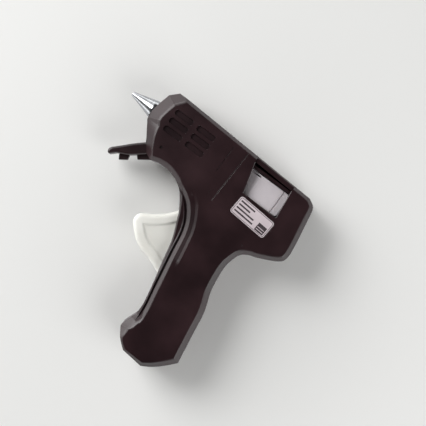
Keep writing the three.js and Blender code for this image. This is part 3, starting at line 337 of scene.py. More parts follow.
def mesh_object(name, points, faces):
    """An object from points of the drawing, in millimetres."""
    mesh = bpy.data.meshes.new(name)
    mesh.from_pydata([to_frame(*p) for p in points], [], faces)
    mesh.validate()
    return new_object(name, mesh)


def baked(obj):
    """The object's modifiers turned into plain mesh."""
    evaluated = obj.evaluated_get(bpy.context.evaluated_depsgraph_get())
    mesh = bpy.data.meshes.new_from_object(evaluated)
    obj.modifiers.clear()
    obj.data = mesh
    return obj


def carved(target, tools, operation="DIFFERENCE"):
    """The target cut by the tools, or joined with them, which uses the tools up."""
    for tool in tools:
        step = target.modifiers.new("carve", "BOOLEAN")
        step.operation = operation
        step.solver = "MANIFOLD"
        step.object = tool
    baked(target)
    for tool in tools:
        bpy.data.objects.remove(tool)
    return target


def ring_faces(rings, sides, closed=False):
    """Faces that join rings of points: a skin with a face over each end, or closed all the way round."""
    faces = []
    for level in range(rings if closed else rings - 1):
        base, over = level * sides, (level + 1) % rings * sides
        for i in range(sides):
            j = (i + 1) % sides
            faces.append((base + i, base + j, over + j, over + i))
    if not closed:
        faces += [tuple(reversed(range(sides))), tuple(range((rings - 1) * sides, rings * sides))]
    return faces


def stacked(name, levels):
    """A closed solid through loops of equal count, each with its height, from the lowest up."""
    points = [(x, y, z) for loop, z in levels for x, y in loop]
    faces = ring_faces(len(levels), len(levels[0][0]))
    if signed_area(np.array(levels[0][0])) < 0:
        faces = [face[::-1] for face in faces]
    return mesh_object(name, points, faces)


def prism(name, loop, low, high):
    return stacked(name, [(loop, low), (loop, high)])


def within(points, loop):
    """Which points lie inside a closed outline, clear of its edge."""
    x, y = points[:, 0][:, None], points[:, 1][:, None]
    a, b = loop, np.roll(loop, -1, axis=0)
    crossing = (a[:, 1] > y) != (b[:, 1] > y)
    rise = np.where(crossing, b[:, 1] - a[:, 1], 1)
    cut = a[:, 0] + (y - a[:, 1]) / rise * (b[:, 0] - a[:, 0])
    gap, _ = distance_to(points, loop)
    return (np.sum(crossing & (x < cut), axis=1) % 2 == 1) & (gap > LINE_CLEARANCE)


def relief(name, loop, height, rings, lines, low):
    """A closed solid over an outline whose top follows height(points), creased along the lines."""
    kept = [np.flatnonzero(within(line, loop)) for line in lines]
    insets = [inset(loop, ring) for ring in rings]
    points = np.concatenate([loop, *insets, *[line[places] for line, places in zip(lines, kept)]])
    rim = list(range(len(loop)))
    up = signed_area(loop) > 0
    start = len(points) - sum(len(places) for places in kept)
    creases = []
    for places in kept:
        creases += [(start + i, start + i + 1) for i in np.flatnonzero(np.diff(places) == 1).tolist()]
        start += len(places)
    flat, _, faces, origins, _, _ = geometry.delaunay_2d_cdt(
        [Vector(p) for p in points], creases, [rim if up else rim[::-1]], 1, DRAWN_MERGE)
    flat = np.array([tuple(v) for v in flat])
    place = {old: new for new, olds in enumerate(origins) for old in olds}
    border = [place[i] for i in rim]
    solid_points = [(x, y, z) for (x, y), z in zip(flat, height(flat))]
    solid_points += [(x, y, low + 2 * PARTING_CHAMFER) for x, y in loop]
    solid_points += [(x, y, low) for x, y in mitred(loop, PARTING_CHAMFER)]
    faces = [tuple(face) for face in faces]
    upper, lower = len(flat), len(flat) + len(loop)
    for i, j in zip(rim, rim[1:] + rim[:1]):
        quads = [(upper + i, upper + j, border[j], border[i]), (lower + i, lower + j, upper + j, upper + i)]
        faces += quads if up else [quad[::-1] for quad in quads]
    bottom = tuple(range(lower, lower + len(loop)))
    faces.append(bottom[::-1] if up else bottom)
    return mesh_object(name, solid_points, faces)


def mirrored(obj, name):
    """The same solid on the other side of the parting plane."""
    copy = obj.data.copy()
    flip = Matrix.Translation((0, 0, 2 * drawing_origin.z)) @ Matrix.Scale(-1, 4, (0, 0, 1))
    copy.transform(flip)
    copy.flip_normals()
    return new_object(name, copy)


BODY_SPACING = 0.9
FINE_SPACING = 0.7
LINE_SPACING = 0.8
LINE_STEPS = 4
body_loop = evened(outline(BODY_START, BODY_RUNS), BODY_SPACING)
prong_loop = evened(outline(PRONG_START, PRONG_RUNS), FINE_SPACING)

# How wide the edge's rounding is along the outline, by named places of the drawing.
EDGE_PLACES = [
    ((6.75, 130), 2.2), ((96.2, 125.8), 2.2), ((101.7, 119.3), 2.8), ((104.9, 101.4), 2.8),
    ((102.8, 88.8), 2.8), ((87.5, 81.8), 2.8), ((81.6, 68), 3.2), ((87.5, 41.3), 3.4), ((91.9, 13.1), 3.4),
    ((82.1, 3.3), 3), ((64.1, 1.4), 1.4), ((59.2, 5.5), 0.8), ((58, 7), 1.4), ((55.9, 9.8), 4.6),
    ((55.1, 12), 6.2), ((56.4, 16.4), 6.4), ((58.1, 20.7), 4.4), ((58.1, 26.3), 0.9), ((52.6, 52.3), 0.8),
    ((45.5, 75.1), 0.8), ((38.5, 86.7), 1.6), ((34.6, 90), 3), ((24.8, 93.2), 3.4), ((15, 92), 2.8),
    ((2.5, 105.7), 2.4), ((2.5, 125.8), 2.4),
]


def widths_along(loop):
    """The rounding's width at each edge of the outline, evened between the named places."""
    steps = np.linalg.norm(np.roll(loop, -1, axis=0) - loop, axis=1)
    run = np.concatenate([[0], np.cumsum(steps)])[:-1]
    places = []
    for place, width in EDGE_PLACES:
        nearest = np.argmin(np.linalg.norm(loop - np.array(place), axis=1))
        places.append((run[nearest], width))
    places.sort()
    return np.interp(run, [p for p, _ in places], [w for _, w in places], period=steps.sum())


body_widths = widths_along(body_loop)
EDGE_SLOPE = 0.92
EDGE_SOFTNESS = 0.16
WIDTH_BLEND = 1.5

# On the finger side a bevel runs down from the arch a few millimetres in, with a gap and a lower ledge
# outside it, and a shallow scoop for the fingertips lies inside it. Each place is across the bevel or
# the scoop, positive inwards, with its drop from the side face.
FINGER_BEVEL = [(33.6, 92), (36.8, 90.5), (41.2, 88.3), (45, 85.6), (48.3, 81.8), (51, 77.4), (52.9, 72.5),
                (54, 67.6), (54.8, 62.1), (55.7, 56.7), (57, 49.6), (58.3, 42.5), (59.7, 34.9), (61.1, 27.8),
                (61.8, 21.3), (61.7, 16.5)]
STEP_PLACES = (-2.9, -2.5, -2.2, -1.9, -1.25, -1.0, 0.95, 1.3)
STEP_DROPS = (2.1, 1.9, 2.0, 3.0, 3.0, 2.0, 0.1, 0)
STEP_FADE = 8
SCOOP_LINE = [(42.5, 92.5), (46, 90.4), (49.6, 87.4), (53.7, 80.7), (56.4, 74.1), (58.1, 66), (59.4, 59),
              (60.2, 53)]
SCOOP_PLACES = (-2.9, -0.8, 0.7)
SCOOP_DROPS = (0, 0.42, 0)

nose_line = evened(np.array(NOSE_LINE, float), LINE_SPACING, closed=False)
finger_bevel, scoop_line = (
    evened(outline(line[0], [line[1:]], LINE_STEPS), spacing, closed=False)
    for line, spacing in ((FINGER_BEVEL, BODY_SPACING), (SCOOP_LINE, LINE_SPACING)))


def soft_least(a, b, blend):
    """The lesser of two heights, rounded off where they are closer than blend."""
    near = np.maximum(blend - np.abs(a - b), 0) / blend
    return np.minimum(a, b) - near ** 2 * blend / 4


def across_path(points, path):
    """How far each point lies to the left of an open path, and how far along it, counted in edges."""
    gap, run = distance_to(points, path, closed=False)
    edge = np.minimum(run.astype(int), len(path) - 2)
    along = path[edge + 1] - path[edge]
    away = points - path[edge]
    return gap * np.sign(along[:, 0] * away[:, 1] - along[:, 1] * away[:, 0]), run


def smooth_step(share):
    share = np.clip(share, 0, 1)
    return share * share * (3 - 2 * share)


def stepped(points, path, places, drops):
    """The drop of a step that runs along a path and fades out at both its ends."""
    inwards, run = across_path(points, path)
    return np.interp(inwards, places, drops) * smooth_step(np.minimum(run, len(path) - 1 - run) / STEP_FADE)


def edge_widths(points):
    """How far each point lies from the outline, and the edge's width there, evened over its surroundings."""
    depth, _ = distance_to(points, body_loop)
    gaps = gaps_between(points, body_loop)
    shares = np.exp((gaps.min(axis=1)[:, None] - gaps) / WIDTH_BLEND)
    return depth, shares @ body_widths / shares.sum(axis=1)

# The nose's bevel: how steeply it rises from its line, from the foot up to the middle, and how it blends in.
NOSE_PLACES = (97, 103, 109)
NOSE_STEEPNESS = (1.8, 1.45, 1)
NOSE_REACH = 14
NOSE_BLEND = 0.9


def body_height(points):
    """How far the shell's side stands off the parting plane at each point."""
    depth, width = edge_widths(points)
    across = np.clip(1 - depth / width, 0, 1)
    drop = (np.sqrt(across ** 2 + EDGE_SOFTNESS ** 2) - EDGE_SOFTNESS) * width * EDGE_SLOPE
    top = HALF_WIDTH - drop
    nose_depth, _ = distance_to(points, nose_line, closed=False)
    slope = NOSE_FACE_HALF + nose_depth * np.interp(points[:, 1], NOSE_PLACES, NOSE_STEEPNESS)
    top = np.where(nose_depth < NOSE_REACH, soft_least(top, slope, NOSE_BLEND), top)
    top -= stepped(points, finger_bevel, STEP_PLACES, STEP_DROPS)
    return top - stepped(points, scoop_line, SCOOP_PLACES, SCOOP_DROPS)


def beside(path, distance):
    """A path moved to its left."""
    return path + turned_left(unit(np.gradient(path, axis=0))) * distance


# The lines along which the side face is creased: the nose's slope, the finger bevel and the scoop.
SLOPE_LINES = 13
SLOPE_PITCH = 0.6
face_lines = [
    *[beside(nose_line, k * SLOPE_PITCH) for k in range(1, SLOPE_LINES + 1)],
    *[beside(finger_bevel, place) for place in STEP_PLACES],
    *[beside(scoop_line, place) for place in SCOOP_PLACES],
]
BODY_RINGS = [0.12, 0.35, 0.7, 1.1, 1.6, 2.1, 2.6, 3, 3.5, 4.2, 5, 6]
outer_left = relief("housing_left_dressed", body_loop, body_height, BODY_RINGS, face_lines, PARTING)

PRONG_RIB_HALF = 2.5
PRONG_EDGE = 1.2
PRONG_RINGS = [0.1, 0.4, 0.8, 1.2, 1.6]


def prong_height(points):
    depth, _ = distance_to(points, prong_loop)
    across = np.clip(1 - depth / PRONG_EDGE, 0, 1)
    return PRONG_HALF_WIDTH - PRONG_EDGE * (1 - np.sqrt(1 - across ** 2))


prong_parts = [prism(f"prong_rib_{i}", rib, PARTING, PRONG_RIB_HALF) for i, rib in enumerate(PRONG_RIBS)]
prong_parts.insert(0, relief("prong", prong_loop, prong_height, PRONG_RINGS, [], PARTING))
carved(outer_left, prong_parts, "UNION")
outer_right = mirrored(outer_left, "housing_right_dressed")


def merged_copy(node):
    """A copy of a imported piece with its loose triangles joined."""
    copy = new_object(node + "_copy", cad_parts[node].data.copy())
    weld = copy.modifiers.new("weld", "WELD")
    weld.merge_threshold = WELD
    return baked(copy)


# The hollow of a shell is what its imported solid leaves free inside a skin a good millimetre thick.
SKIN = 1.0
FACE_SKIN = 1.1
HOLLOW_SPACING = 1.5
HOLLOW_RINGS = [0.6, 1.4, 2.2, 3, 3.8, 4.6]
skin_loop = inset(evened(outline(BODY_START, BODY_RUNS, LINE_STEPS), HOLLOW_SPACING), SKIN)
hollow_left = relief(
    "hollow_left", skin_loop, lambda points: body_height(points) - FACE_SKIN, HOLLOW_RINGS, face_lines, -1)
hollow_right = mirrored(hollow_left, "hollow_right")
carved(hollow_left, [merged_copy("housing_left")])
carved(hollow_right, [merged_copy("housing_right")])
carved(outer_left, [hollow_left])
carved(outer_right, [hollow_right])


CORNER_STEPS = 5
DISC_SIDES = 48


def circle(sides):
    angles = np.linspace(0, 2 * math.pi, sides, endpoint=False)
    return np.stack([np.cos(angles), np.sin(angles)], axis=1)


def rounded(corners, radius, grow=0.0):
    """A convex outline with rounded corners, drawn out by grow."""
    corners = [np.array(c, float) for c in corners]
    if signed_area(np.array(corners)) < 0:
        corners.reverse()
    count = len(corners)
    made = []
    for i, here in enumerate(corners):
        before = here - corners[i - 1]
        after = corners[(i + 1) % count] - here
        before /= np.linalg.norm(before)
        after /= np.linalg.norm(after)
        turn = math.acos(np.clip(before @ after, -1, 1))
        back = radius * math.tan(turn / 2)
        centre = here - before * back + np.array([-before[1], before[0]]) * radius
        start = math.atan2(-before[0], before[1])
        for k in range(CORNER_STEPS + 1):
            angle = start + turn * k / CORNER_STEPS
            made.append(centre + (radius + grow) * np.array([math.cos(angle), math.sin(angle)]))
    return np.array(made)


def rectangle(centre, length, height, tilt=0.0):
    turn = np.array([[math.cos(tilt), -math.sin(tilt)], [math.sin(tilt), math.cos(tilt)]])
    corners = [(x * length / 2, y * height / 2) for x, y in ((-1, -1), (1, -1), (1, 1), (-1, 1))]
    return [np.array(centre) + turn @ np.array(c) for c in corners]


def disc(centre, radius):
    return np.array(centre) + radius * circle(DISC_SIDES)


def recess(name, corners, radius, depth, chamfer):
    """A cutter into the side face, with its corners rounded and its rim chamfered where these are given."""
    inner = rounded(corners, radius) if radius else corners
    if not chamfer:
        return prism(name, inner, HALF_WIDTH - depth, HALF_WIDTH + 1)
    outer = rounded(corners, radius, 2 * chamfer) if radius else mitred(corners, -2 * chamfer)
    return stacked(name, [
        (inner, HALF_WIDTH - depth), (inner, HALF_WIDTH - chamfer), (outer, HALF_WIDTH + chamfer)])


def worked(obj, operation):
    """The object after an operation on its mesh."""
    work = bmesh.new()
    work.from_mesh(obj.data)
    operation(work)
    work.to_mesh(obj.data)
    work.free()
    return obj


def faced_outwards(obj):
    return worked(obj, lambda work: bmesh.ops.recalc_face_normals(work, faces=work.faces))


def along_barrel(run, across, out):
    return run, AXIS_Y + across, out


def turned(name, profile, sides, placed=along_barrel, closed=False):
    """A solid of revolution from its radius at each place along an axis."""
    points = [placed(run, r * across, r * out) for run, r in profile for across, out in circle(sides)]
    return faced_outwards(mesh_object(name, points, ring_faces(len(profile), sides, closed)))


WINDOW = [(61.3, 124.3), (85.8, 123.2), (87.7, 106.6), (65.7, 107.1)]
LABEL_CENTRE = (77.33, 99.45)
LABEL_SIZE = (23, 10.5)
LABEL_TILT = math.radians(-4.2)
LABEL_SEAT = [side + 0.5 for side in LABEL_SIZE]
TOP_NOTCH = [(61, 133), (86.4, 133), (86, 123), (60.9, 124.1)]
VENT_CENTRE = (23.74, 115.44)
VENT_SIZE = (11.4, 3.2)
VENT_PITCH = (14.4, 5.2)
VENT_DEPTH = 1.5
TRIGGER_PIVOT = np.array((58.5525, 46.28))
LEVER_PIVOT = np.array((57.392, 90.61))
TRIGGER_REACH = 36.3
SLOT_HALF = 7.35
SLOT_REACH = TRIGGER_REACH + 0.6
SLOT_END = 1.18 * math.pi
SLOT_STEPS = 90
# The round openings for the nozzle, the stick and the cord, each by its radius along its axis.
NOSE_HOLE = [(5, 5.45), (-2, 6.25)]
INLET_HOLE = [(90, 4.7), (107.5, 5.9)]
CORD_HOLE = [(-3, 6.5), (0.9, 3.5), (9, 3.5)]
CORD_X = 70.16
HOLE_SIDES = 64


def tree_inputs(name, sizes):
    """A new Geometry Nodes tree with one named input for each size, its input node and its output node."""
    tree = bpy.data.node_groups.new(name, "GeometryNodeTree")
    tree.interface.new_socket("Geometry", in_out="INPUT", socket_type="NodeSocketGeometry")
    tree.interface.new_socket("Geometry", in_out="OUTPUT", socket_type="NodeSocketGeometry")
    for label, value in sizes.items():
        kind = {int: "NodeSocketInt", float: "NodeSocketFloat", tuple: "NodeSocketVector"}.get(type(value))
        tree.interface.new_socket(label, in_out="INPUT", socket_type=kind or "NodeSocketObject")
    return tree, add(tree, "NodeGroupInput"), add(tree, "NodeGroupOutput")


def repeated(tree, result, placing, look=None):
    """The end of a tree: one thing at many points, made real and given its material."""
    spread = add(tree, "GeometryNodeInstanceOnPoints", placing)
    real = add(tree, "GeometryNodeRealizeInstances", {"Geometry": spread})
    looked = add(tree, "GeometryNodeSetMaterial", {"Geometry": real, "Material": look})
    tree.links.new(looked.outputs[0], result.inputs[0])


def grown(obj, tree, sizes):
    """The object's mesh made by a tree with these sizes, as plain mesh."""
    step = obj.modifiers.new(tree.name, "NODES")
    step.node_group = tree
    for socket in tree.interface.items_tree:
        if socket.item_type == "SOCKET" and socket.in_out == "INPUT" and socket.name in sizes:
            step[socket.identifier] = sizes[socket.name]
    return baked(obj)


# The vents are blind slots, two to a row and three rows, sunk into the shell over the hot chamber.
VENT_SIZES = {
    "Along": VENT_PITCH[0] * MM, "Up": VENT_PITCH[1] * MM, "Columns": 2, "Rows": 3,
    "Length": VENT_SIZE[0] * MM, "Height": VENT_SIZE[1] * MM, "Corner": 1.15 * MM, "Corner steps": 6,
    "Depth": (VENT_DEPTH - 0.15) * MM, "Lip": 0.4 * MM, "Flare": 1.12,
    "Place": tuple(to_frame(*VENT_CENTRE, HALF_WIDTH - VENT_DEPTH)),
}
vent_tree, given, result = tree_inputs("vent_slots", VENT_SIZES)
size = given.outputs
span_up = add(vent_tree, "ShaderNodeMath", {"operation": "MULTIPLY", 1: 2.0, 0: size["Up"]})
grid = add(vent_tree, "GeometryNodeMeshGrid", {
    "Size X": size["Along"], "Size Y": span_up, "Vertices X": size["Columns"],
    "Vertices Y": size["Rows"]})
edge = add(vent_tree, "GeometryNodeCurvePrimitiveQuadrilateral", {
    "Width": size["Length"], "Height": size["Height"]})
round_off = add(vent_tree, "GeometryNodeFilletCurve", {
    "mode": "POLY", "Curve": edge, "Radius": size["Corner"], "Count": size["Corner steps"]})
plate = add(vent_tree, "GeometryNodeFillCurve", {"mode": "NGONS", "Curve": round_off})
sunk = add(vent_tree, "GeometryNodeExtrudeMesh", {
    "mode": "FACES", "Individual": False, "Mesh": plate, "Offset Scale": size["Depth"]})
lip = add(vent_tree, "GeometryNodeExtrudeMesh", {
    "mode": "FACES", "Individual": False, "Mesh": sunk, "Selection": sunk.outputs["Top"],
    "Offset Scale": size["Lip"]})
flare = add(vent_tree, "GeometryNodeScaleElements", {
    "Geometry": lip, "Selection": lip.outputs["Top"], "Scale": size["Flare"]})
under = add(vent_tree, "GeometryNodeFlipFaces", {"Mesh": plate})
closed = add(vent_tree, "GeometryNodeJoinGeometry", {"Geometry": flare})
vent_tree.links.new(under.outputs[0], closed.inputs["Geometry"])
sealed = add(vent_tree, "GeometryNodeMergeByDistance", {"Distance": WELD, "Geometry": closed})
placed = add(vent_tree, "GeometryNodeTransform", {"Geometry": grid, "Translation": size["Place"]})
repeated(vent_tree, result, {"Points": placed, "Instance": sealed})


def vent_cutter():
    return grown(mesh_object("vent_cutter", [], []), vent_tree, VENT_SIZES)


def slot_cutter():
    """The room that the trigger swings in: a sector about its pivot, from the lever's pivot round."""
    along, up = LEVER_PIVOT - TRIGGER_PIVOT
    angles = np.linspace(math.atan2(up, along), SLOT_END, SLOT_STEPS)
    arc = np.stack([np.cos(angles), np.sin(angles)], axis=1) * SLOT_REACH + TRIGGER_PIVOT
    return prism("trigger_slot", [TRIGGER_PIVOT, *arc], -SLOT_HALF, SLOT_HALF)


def shared_cutters():
    return [
        turned("nose_hole", NOSE_HOLE, HOLE_SIDES),
        turned("inlet_hole", INLET_HOLE, HOLE_SIDES),
        slot_cutter(),
        turned("cord_hole", CORD_HOLE, DISC_SIDES, lambda run, across, out: (CORD_X + across, run, out)),
    ]


# The cuts into the left side face: outline, corner radius, depth and chamfer.
FACE_CUTS = {
    "window_cut": (WINDOW, 0.5, 3, 0.35),
    "label_cut": (rectangle(LABEL_CENTRE, *LABEL_SEAT, LABEL_TILT), 1.65, 0.6, 0.12),
    "top_notch": (TOP_NOTCH, None, 1.1, None),
    "nose_mark": (rectangle((16.2, 100.5), 1.7, 1.7), 0.3, 0.7, None),
    "seam_line": (rectangle((55.1, 109.6), 0.14, 32, math.radians(-2)), 0.05, 0.24, 0.22),
    "second_line": (rectangle((47.2, 115.8), 0.3, 16), 0.1, 0.3, 0.03),
    "ejector_mark": (disc((53, 97), 2.3), None, 0.08, 0.04),
    "gate_mark": (disc((81.8, 83.9), 0.35), None, 0.2, 0.08),
}
left_cutters = [recess(name, *cut) for name, cut in FACE_CUTS.items()]
carved(outer_left, [*shared_cutters(), *left_cutters, vent_cutter()])

SCREW_PLACES = {
    "screw_nose": (14.98, 96.33), "screw_arch": (33.02, 95.55), "screw_rear": (96.95, 96.98),
    "screw_grip": (75.96, 50.05), "screw_butt": (83.03, 15.21),
}
WELL_RADIUS = 2.85
WELL_FLOOR = 2.25
WELL_CHAMFER = 0.5


def screw_well(name):
    inner, outer = (disc(SCREW_PLACES[name], WELL_RADIUS + more) for more in (0, 2 * WELL_CHAMFER))
    return stacked(name + "_well", [
        (inner, WELL_FLOOR), (inner, HALF_WIDTH - WELL_CHAMFER), (outer, HALF_WIDTH + WELL_CHAMFER)])


drawn_left = [vent_cutter(), *[screw_well(name) for name in SCREW_PLACES]]
right_cutters = [mirrored(tool, tool.name + "_right") for tool in drawn_left]
for tool in drawn_left:
    bpy.data.objects.remove(tool)
carved(outer_right, [*shared_cutters(), *right_cutters])


FLAT_WEIGHT = 100
CREASE_ANGLE = 32


def smoothed(obj, angle=CREASE_ANGLE):
    """Smooth shading with creases kept, in which the larger faces stay flat."""
    obj.data.shade_smooth()
    obj.data.set_sharp_from_angle(angle=math.radians(angle))
    weigh = obj.modifiers.new("weigh_normals", "WEIGHTED_NORMAL")
    weigh.keep_sharp = True
    weigh.weight = FLAT_WEIGHT
    return obj


# How a face is matched to the drawn form, in millimetres and as cosines, and how far in it is sampled.
SHADING_STEP = 0.03
SHADING_REACH = 0.12
SHADING_SHARE = 0.4
SHADING_BATCH = 2000
ON_FACE = 0.12
LEVEL_FACING = 0.9999
LEAST_FACING = 0.1
LEAST_MATCH = 0.85
LEAST_HEIGHT = 1


def form_normals(height, points):
    """The direction in which a drawn height faces at each point, worked out a few thousand at a time."""
    tilts = []
    for part in np.array_split(points, 1 + len(points) // SHADING_BATCH):
        here = height(part)
        steps = ((SHADING_STEP, 0), (0, SHADING_STEP))
        falls = [(here - height(part + step)) / SHADING_STEP for step in steps]
        tilts.append(np.stack([*falls, here * 0 + 1], axis=1))
    return unit(np.concatenate(tilts))


def shaded_as_drawn(obj, height, side):
    """Shade a shell's outer face by the form it was drawn with, so that no cut leaves a trace beside it."""
    mesh = baked(smoothed(obj)).data
    upright = np.array((1, 1, side))
    origin = np.array(drawing_origin)
    corners = np.array([v.co for v in mesh.vertices])[[loop.vertex_index for loop in mesh.loops]]
    corners = (corners - origin) / MM * upright
    normals = np.array([n.vector for n in mesh.corner_normals])
    sizes = [len(face.vertices) for face in mesh.polygons]
    middles = (np.array([face.center for face in mesh.polygons]) - origin) / MM * upright
    facings = np.array([face.normal for face in mesh.polygons]) * upright
    owner = np.repeat(np.arange(len(sizes)), sizes)
    normals[facings[owner, 2] > LEVEL_FACING] = (0, 0, side)
    tilted = (facings[:, 2] > LEAST_FACING) & (facings[:, 2] <= LEVEL_FACING)
    sloped = np.flatnonzero(tilted & (middles[:, 2] > LEAST_HEIGHT))
    fits = np.abs(height(middles[sloped, :2]) - middles[sloped, 2]) < ON_FACE
    fits &= np.sum(form_normals(height, middles[sloped, :2]) * facings[sloped], axis=1) > LEAST_MATCH
    chosen = np.flatnonzero(np.isin(owner, sloped[fits]))
    inwards = middles[owner[chosen], :2] - corners[chosen, :2]
    length = np.linalg.norm(inwards, axis=1)[:, None]
    places = corners[chosen, :2] + inwards * np.minimum(SHADING_REACH / length, SHADING_SHARE)
    normals[chosen] = form_normals(height, places) * upright
    mesh.normals_split_custom_set(normals.tolist())
    return obj


NOISE_RANGE = (0.3, 0.7)
CLOUD_STOPS = (0.35, 0.7)


def new_material(name):
    material = bpy.data.materials.new(name)
    material.use_nodes = True
    material.node_tree.nodes.clear()
    return material, material.node_tree


def noise(tree, size, detail, roughness, stretch=None):
    """A noise pattern of a real size in millimetres, in the object's own coordinates."""
    where = add(tree, "ShaderNodeTexCoord").outputs["Object"]
    if stretch:
        where = add(tree, "ShaderNodeMapping", {"Scale": stretch, "Vector": where})
    return add(tree, "ShaderNodeTexNoise", {
        "Scale": 1 / (size * MM), "Detail": detail, "Roughness": roughness, "Vector": where})


def surface(tree, broad, fine, tones, stops, rough, bump, settings):
    """The shader: tones and gloss follow a broad pattern, and a bump of a strength and depth a fine one."""
    tone = add(tree, "ShaderNodeValToRGB", {0: broad})
    for stop, place, colour in zip(tone.color_ramp.elements, stops, tones):
        stop.position, stop.color = place, (*linear(colour), 1)
    raised = add(tree, "ShaderNodeBump", {"Strength": bump[0], "Distance": bump[1] * MM, "Height": fine})
    values = {**settings, "Base Color": tone, "Normal": raised}
    if rough:
        values["Roughness"] = ranged(tree, broad, *NOISE_RANGE, *rough)
    skin = add(tree, "ShaderNodeBsdfPrincipled", values)
    add(tree, "ShaderNodeOutputMaterial", {0: skin})


def moulded(name, darker, lighter, cloud, grain, rough, depth, specular=0.4, ior=1.5, scatter=0.0):
    """A moulded plastic: two close tones in slow clouds, and a fine grain. Its sizes are in millimetres."""
    material, tree = new_material(name)
    clouds = noise(tree, cloud, detail=3.0, roughness=0.5)
    grains = noise(tree, grain, detail=2.0, roughness=0.6)
    surface(tree, clouds, grains, (darker, lighter), CLOUD_STOPS, rough, (0.3, depth), {
        "IOR": ior, "Specular IOR Level": specular, "Subsurface Weight": scatter,
        "Subsurface Radius": (1.0, 0.9, 0.8), "Subsurface Scale": MM})
    return material


def finished(obj, look, *node_names, slot, body="housing"):
    """Give the piece its material, hide the imported pieces it replaces and hand it over to the frame."""
    obj.data.materials.clear()
    obj.data.materials.append(look)
    if node_names:
        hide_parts(*node_names)
    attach(obj, body)
    return obj


# Black ABS with a fine spark-eroded grain: nearly matt, its tone a little redder and paler in slow random
# clouds.
black_abs = moulded("moulded_black_abs", "#19060A", "#260B11", 22, 0.4, (0.3, 0.4), 0.03, specular=0.6)
for shell, node, side in ((outer_left, "housing_left", 1), (outer_right, "housing_right", -1)):
    finished(shaded_as_drawn(shell, body_height, side), black_abs, node, slot="shell_black")


# The trigger. White ABS, a hollow shell with a thick rounded rim and sunken side panels. It turns on a
# steel pin low in the grip, and the link pin near its top pushes the feed lever.

TRIGGER_HALF = 7.0
TRIGGER_START = (-0.1, 0.98)
TRIGGER_RUNS = [
    [(-0.27, 0.962), (-0.405, 0.909)],
    [(-0.54, 0.752), (-0.691, 0.624), (-0.81, 0.556), (-0.862, 0.512), (-0.884, 0.466)],
    [(-0.871, 0.377), (-0.78, 0.27), (-0.661, 0.165), (-0.51, 0.091)],
    [(-0.361, 0.061)],
    [(0, -0.085)],
    [(0.085, 0)],
    [(-0.06, 0.86)],
]
TRIGGER_RIM = 4.9
TRIGGER_PANEL_DEPTH = 0.7
TRIGGER_PANEL_SLOPE = 1.5
TRIGGER_EDGE = 2.6
TRIGGER_ROUND = 0.8
TRIGGER_HUB = 4.4
TRIGGER_WALL = 1.1
TRIGGER_SKIN = 1.2
TRIGGER_RINGS = [0.1, 0.4, 0.8, 1.3, 1.9, 2.6, 3.5, 4.3, 4.9, 5.2, 5.5, 5.8, 6.1, 6.4, 7]
TRIGGER_HOLLOW_RINGS = [0.6, 1.4, 2.4, 3.1, 3.7]
PIVOT_HOLE_RADIUS = 1.85
LINK_HOLE_RADIUS = 1.5
HOLE_REACH = 9
trigger_loop = evened(outline(TRIGGER_START, TRIGGER_RUNS) * TRIGGER_REACH + TRIGGER_PIVOT, FINE_SPACING)
trigger_loop = trigger_loop[::-1] if signed_area(trigger_loop) > 0 else trigger_loop


def trigger_height(points):
    depth, _ = distance_to(points, trigger_loop)
    across = np.clip(1 - depth / TRIGGER_EDGE, 0, 1)
    rim = TRIGGER_HALF - TRIGGER_ROUND * TRIGGER_EDGE * (1 - np.sqrt(1 - across ** 2))
    panel = TRIGGER_PANEL_DEPTH * smooth_step((depth - TRIGGER_RIM) / TRIGGER_PANEL_SLOPE)
    hub = np.linalg.norm(points - TRIGGER_PIVOT, axis=1)
    return rim - np.where(hub < TRIGGER_HUB, 0, panel)


def both_sides(name, loop, height, rings):
    """A solid whose two sides both follow the height."""
    half = relief(name, loop, height, rings, [], -1)
    return carved(half, [mirrored(half, name + "_right")], "UNION")


trigger_shell = both_sides("trigger_dressed", trigger_loop, trigger_height, TRIGGER_RINGS)
trigger_inside = both_sides("trigger_inside", inset(trigger_loop, TRIGGER_WALL),
                            lambda points: trigger_height(points) - TRIGGER_SKIN, TRIGGER_HOLLOW_RINGS)
carved(trigger_inside, [merged_copy("trigger")])
link_low, link_high = drawn_box("link_pin")
link_place = ((link_low.x + link_high.x) / 2, (link_low.y + link_high.y) / 2)
pin_holes = [
    prism("pivot_hole", disc(TRIGGER_PIVOT, PIVOT_HOLE_RADIUS), -HOLE_REACH, HOLE_REACH),
    prism("link_hole", disc(link_place, LINK_HOLE_RADIUS), -HOLE_REACH, HOLE_REACH),
]
carved(trigger_shell, [trigger_inside, *pin_holes])

# White ABS, polished in the mould: clean and slightly warm, with a soft broad highlight.
white_abs = moulded("moulded_white_abs", "#E2E1DA", "#EEEDE7", 18, 0.5, (0.3, 0.42), 0.02, scatter=0.08)
finished(smoothed(trigger_shell), white_abs, "trigger", body="trigger_group", slot="trigger_white")


def bare_metal(name, darker, lighter, rough, line, depth, stretch=(1, 1, 1)):
    """A bare metal: fine lines or grain in its reflection, and a slightly uneven tone."""
    material, tree = new_material(name)
    lines = noise(tree, line, detail=3.0, roughness=0.6, stretch=stretch)
    surface(tree, lines, lines, (darker, lighter), NOISE_RANGE, rough, (0.4, depth), {"Metallic": 1.0})
    return material


# Cold-drawn steel pins: bright, with faint lines along their length.
drawn_steel = bare_metal("drawn_steel", "#A8AAAC", "#C4C6C8", (0.22, 0.34), 0.5, 0.01, stretch=(1, 1, 0.1))


def dress(look, *node_names):
    """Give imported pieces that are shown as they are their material."""
    for node in node_names:
        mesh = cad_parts[node].data
        if mesh.materials:
            mesh.materials[0] = look
        else:
            mesh.materials.append(look)


dress(drawn_steel, "trigger_pin", "link_pin")


# The carriage. A white acetal block behind the window that holds the glue stick and slides forward on
# two rails. Its front slopes down, and a groove parts its rear tab. A toothed steel clamp grips the stick.

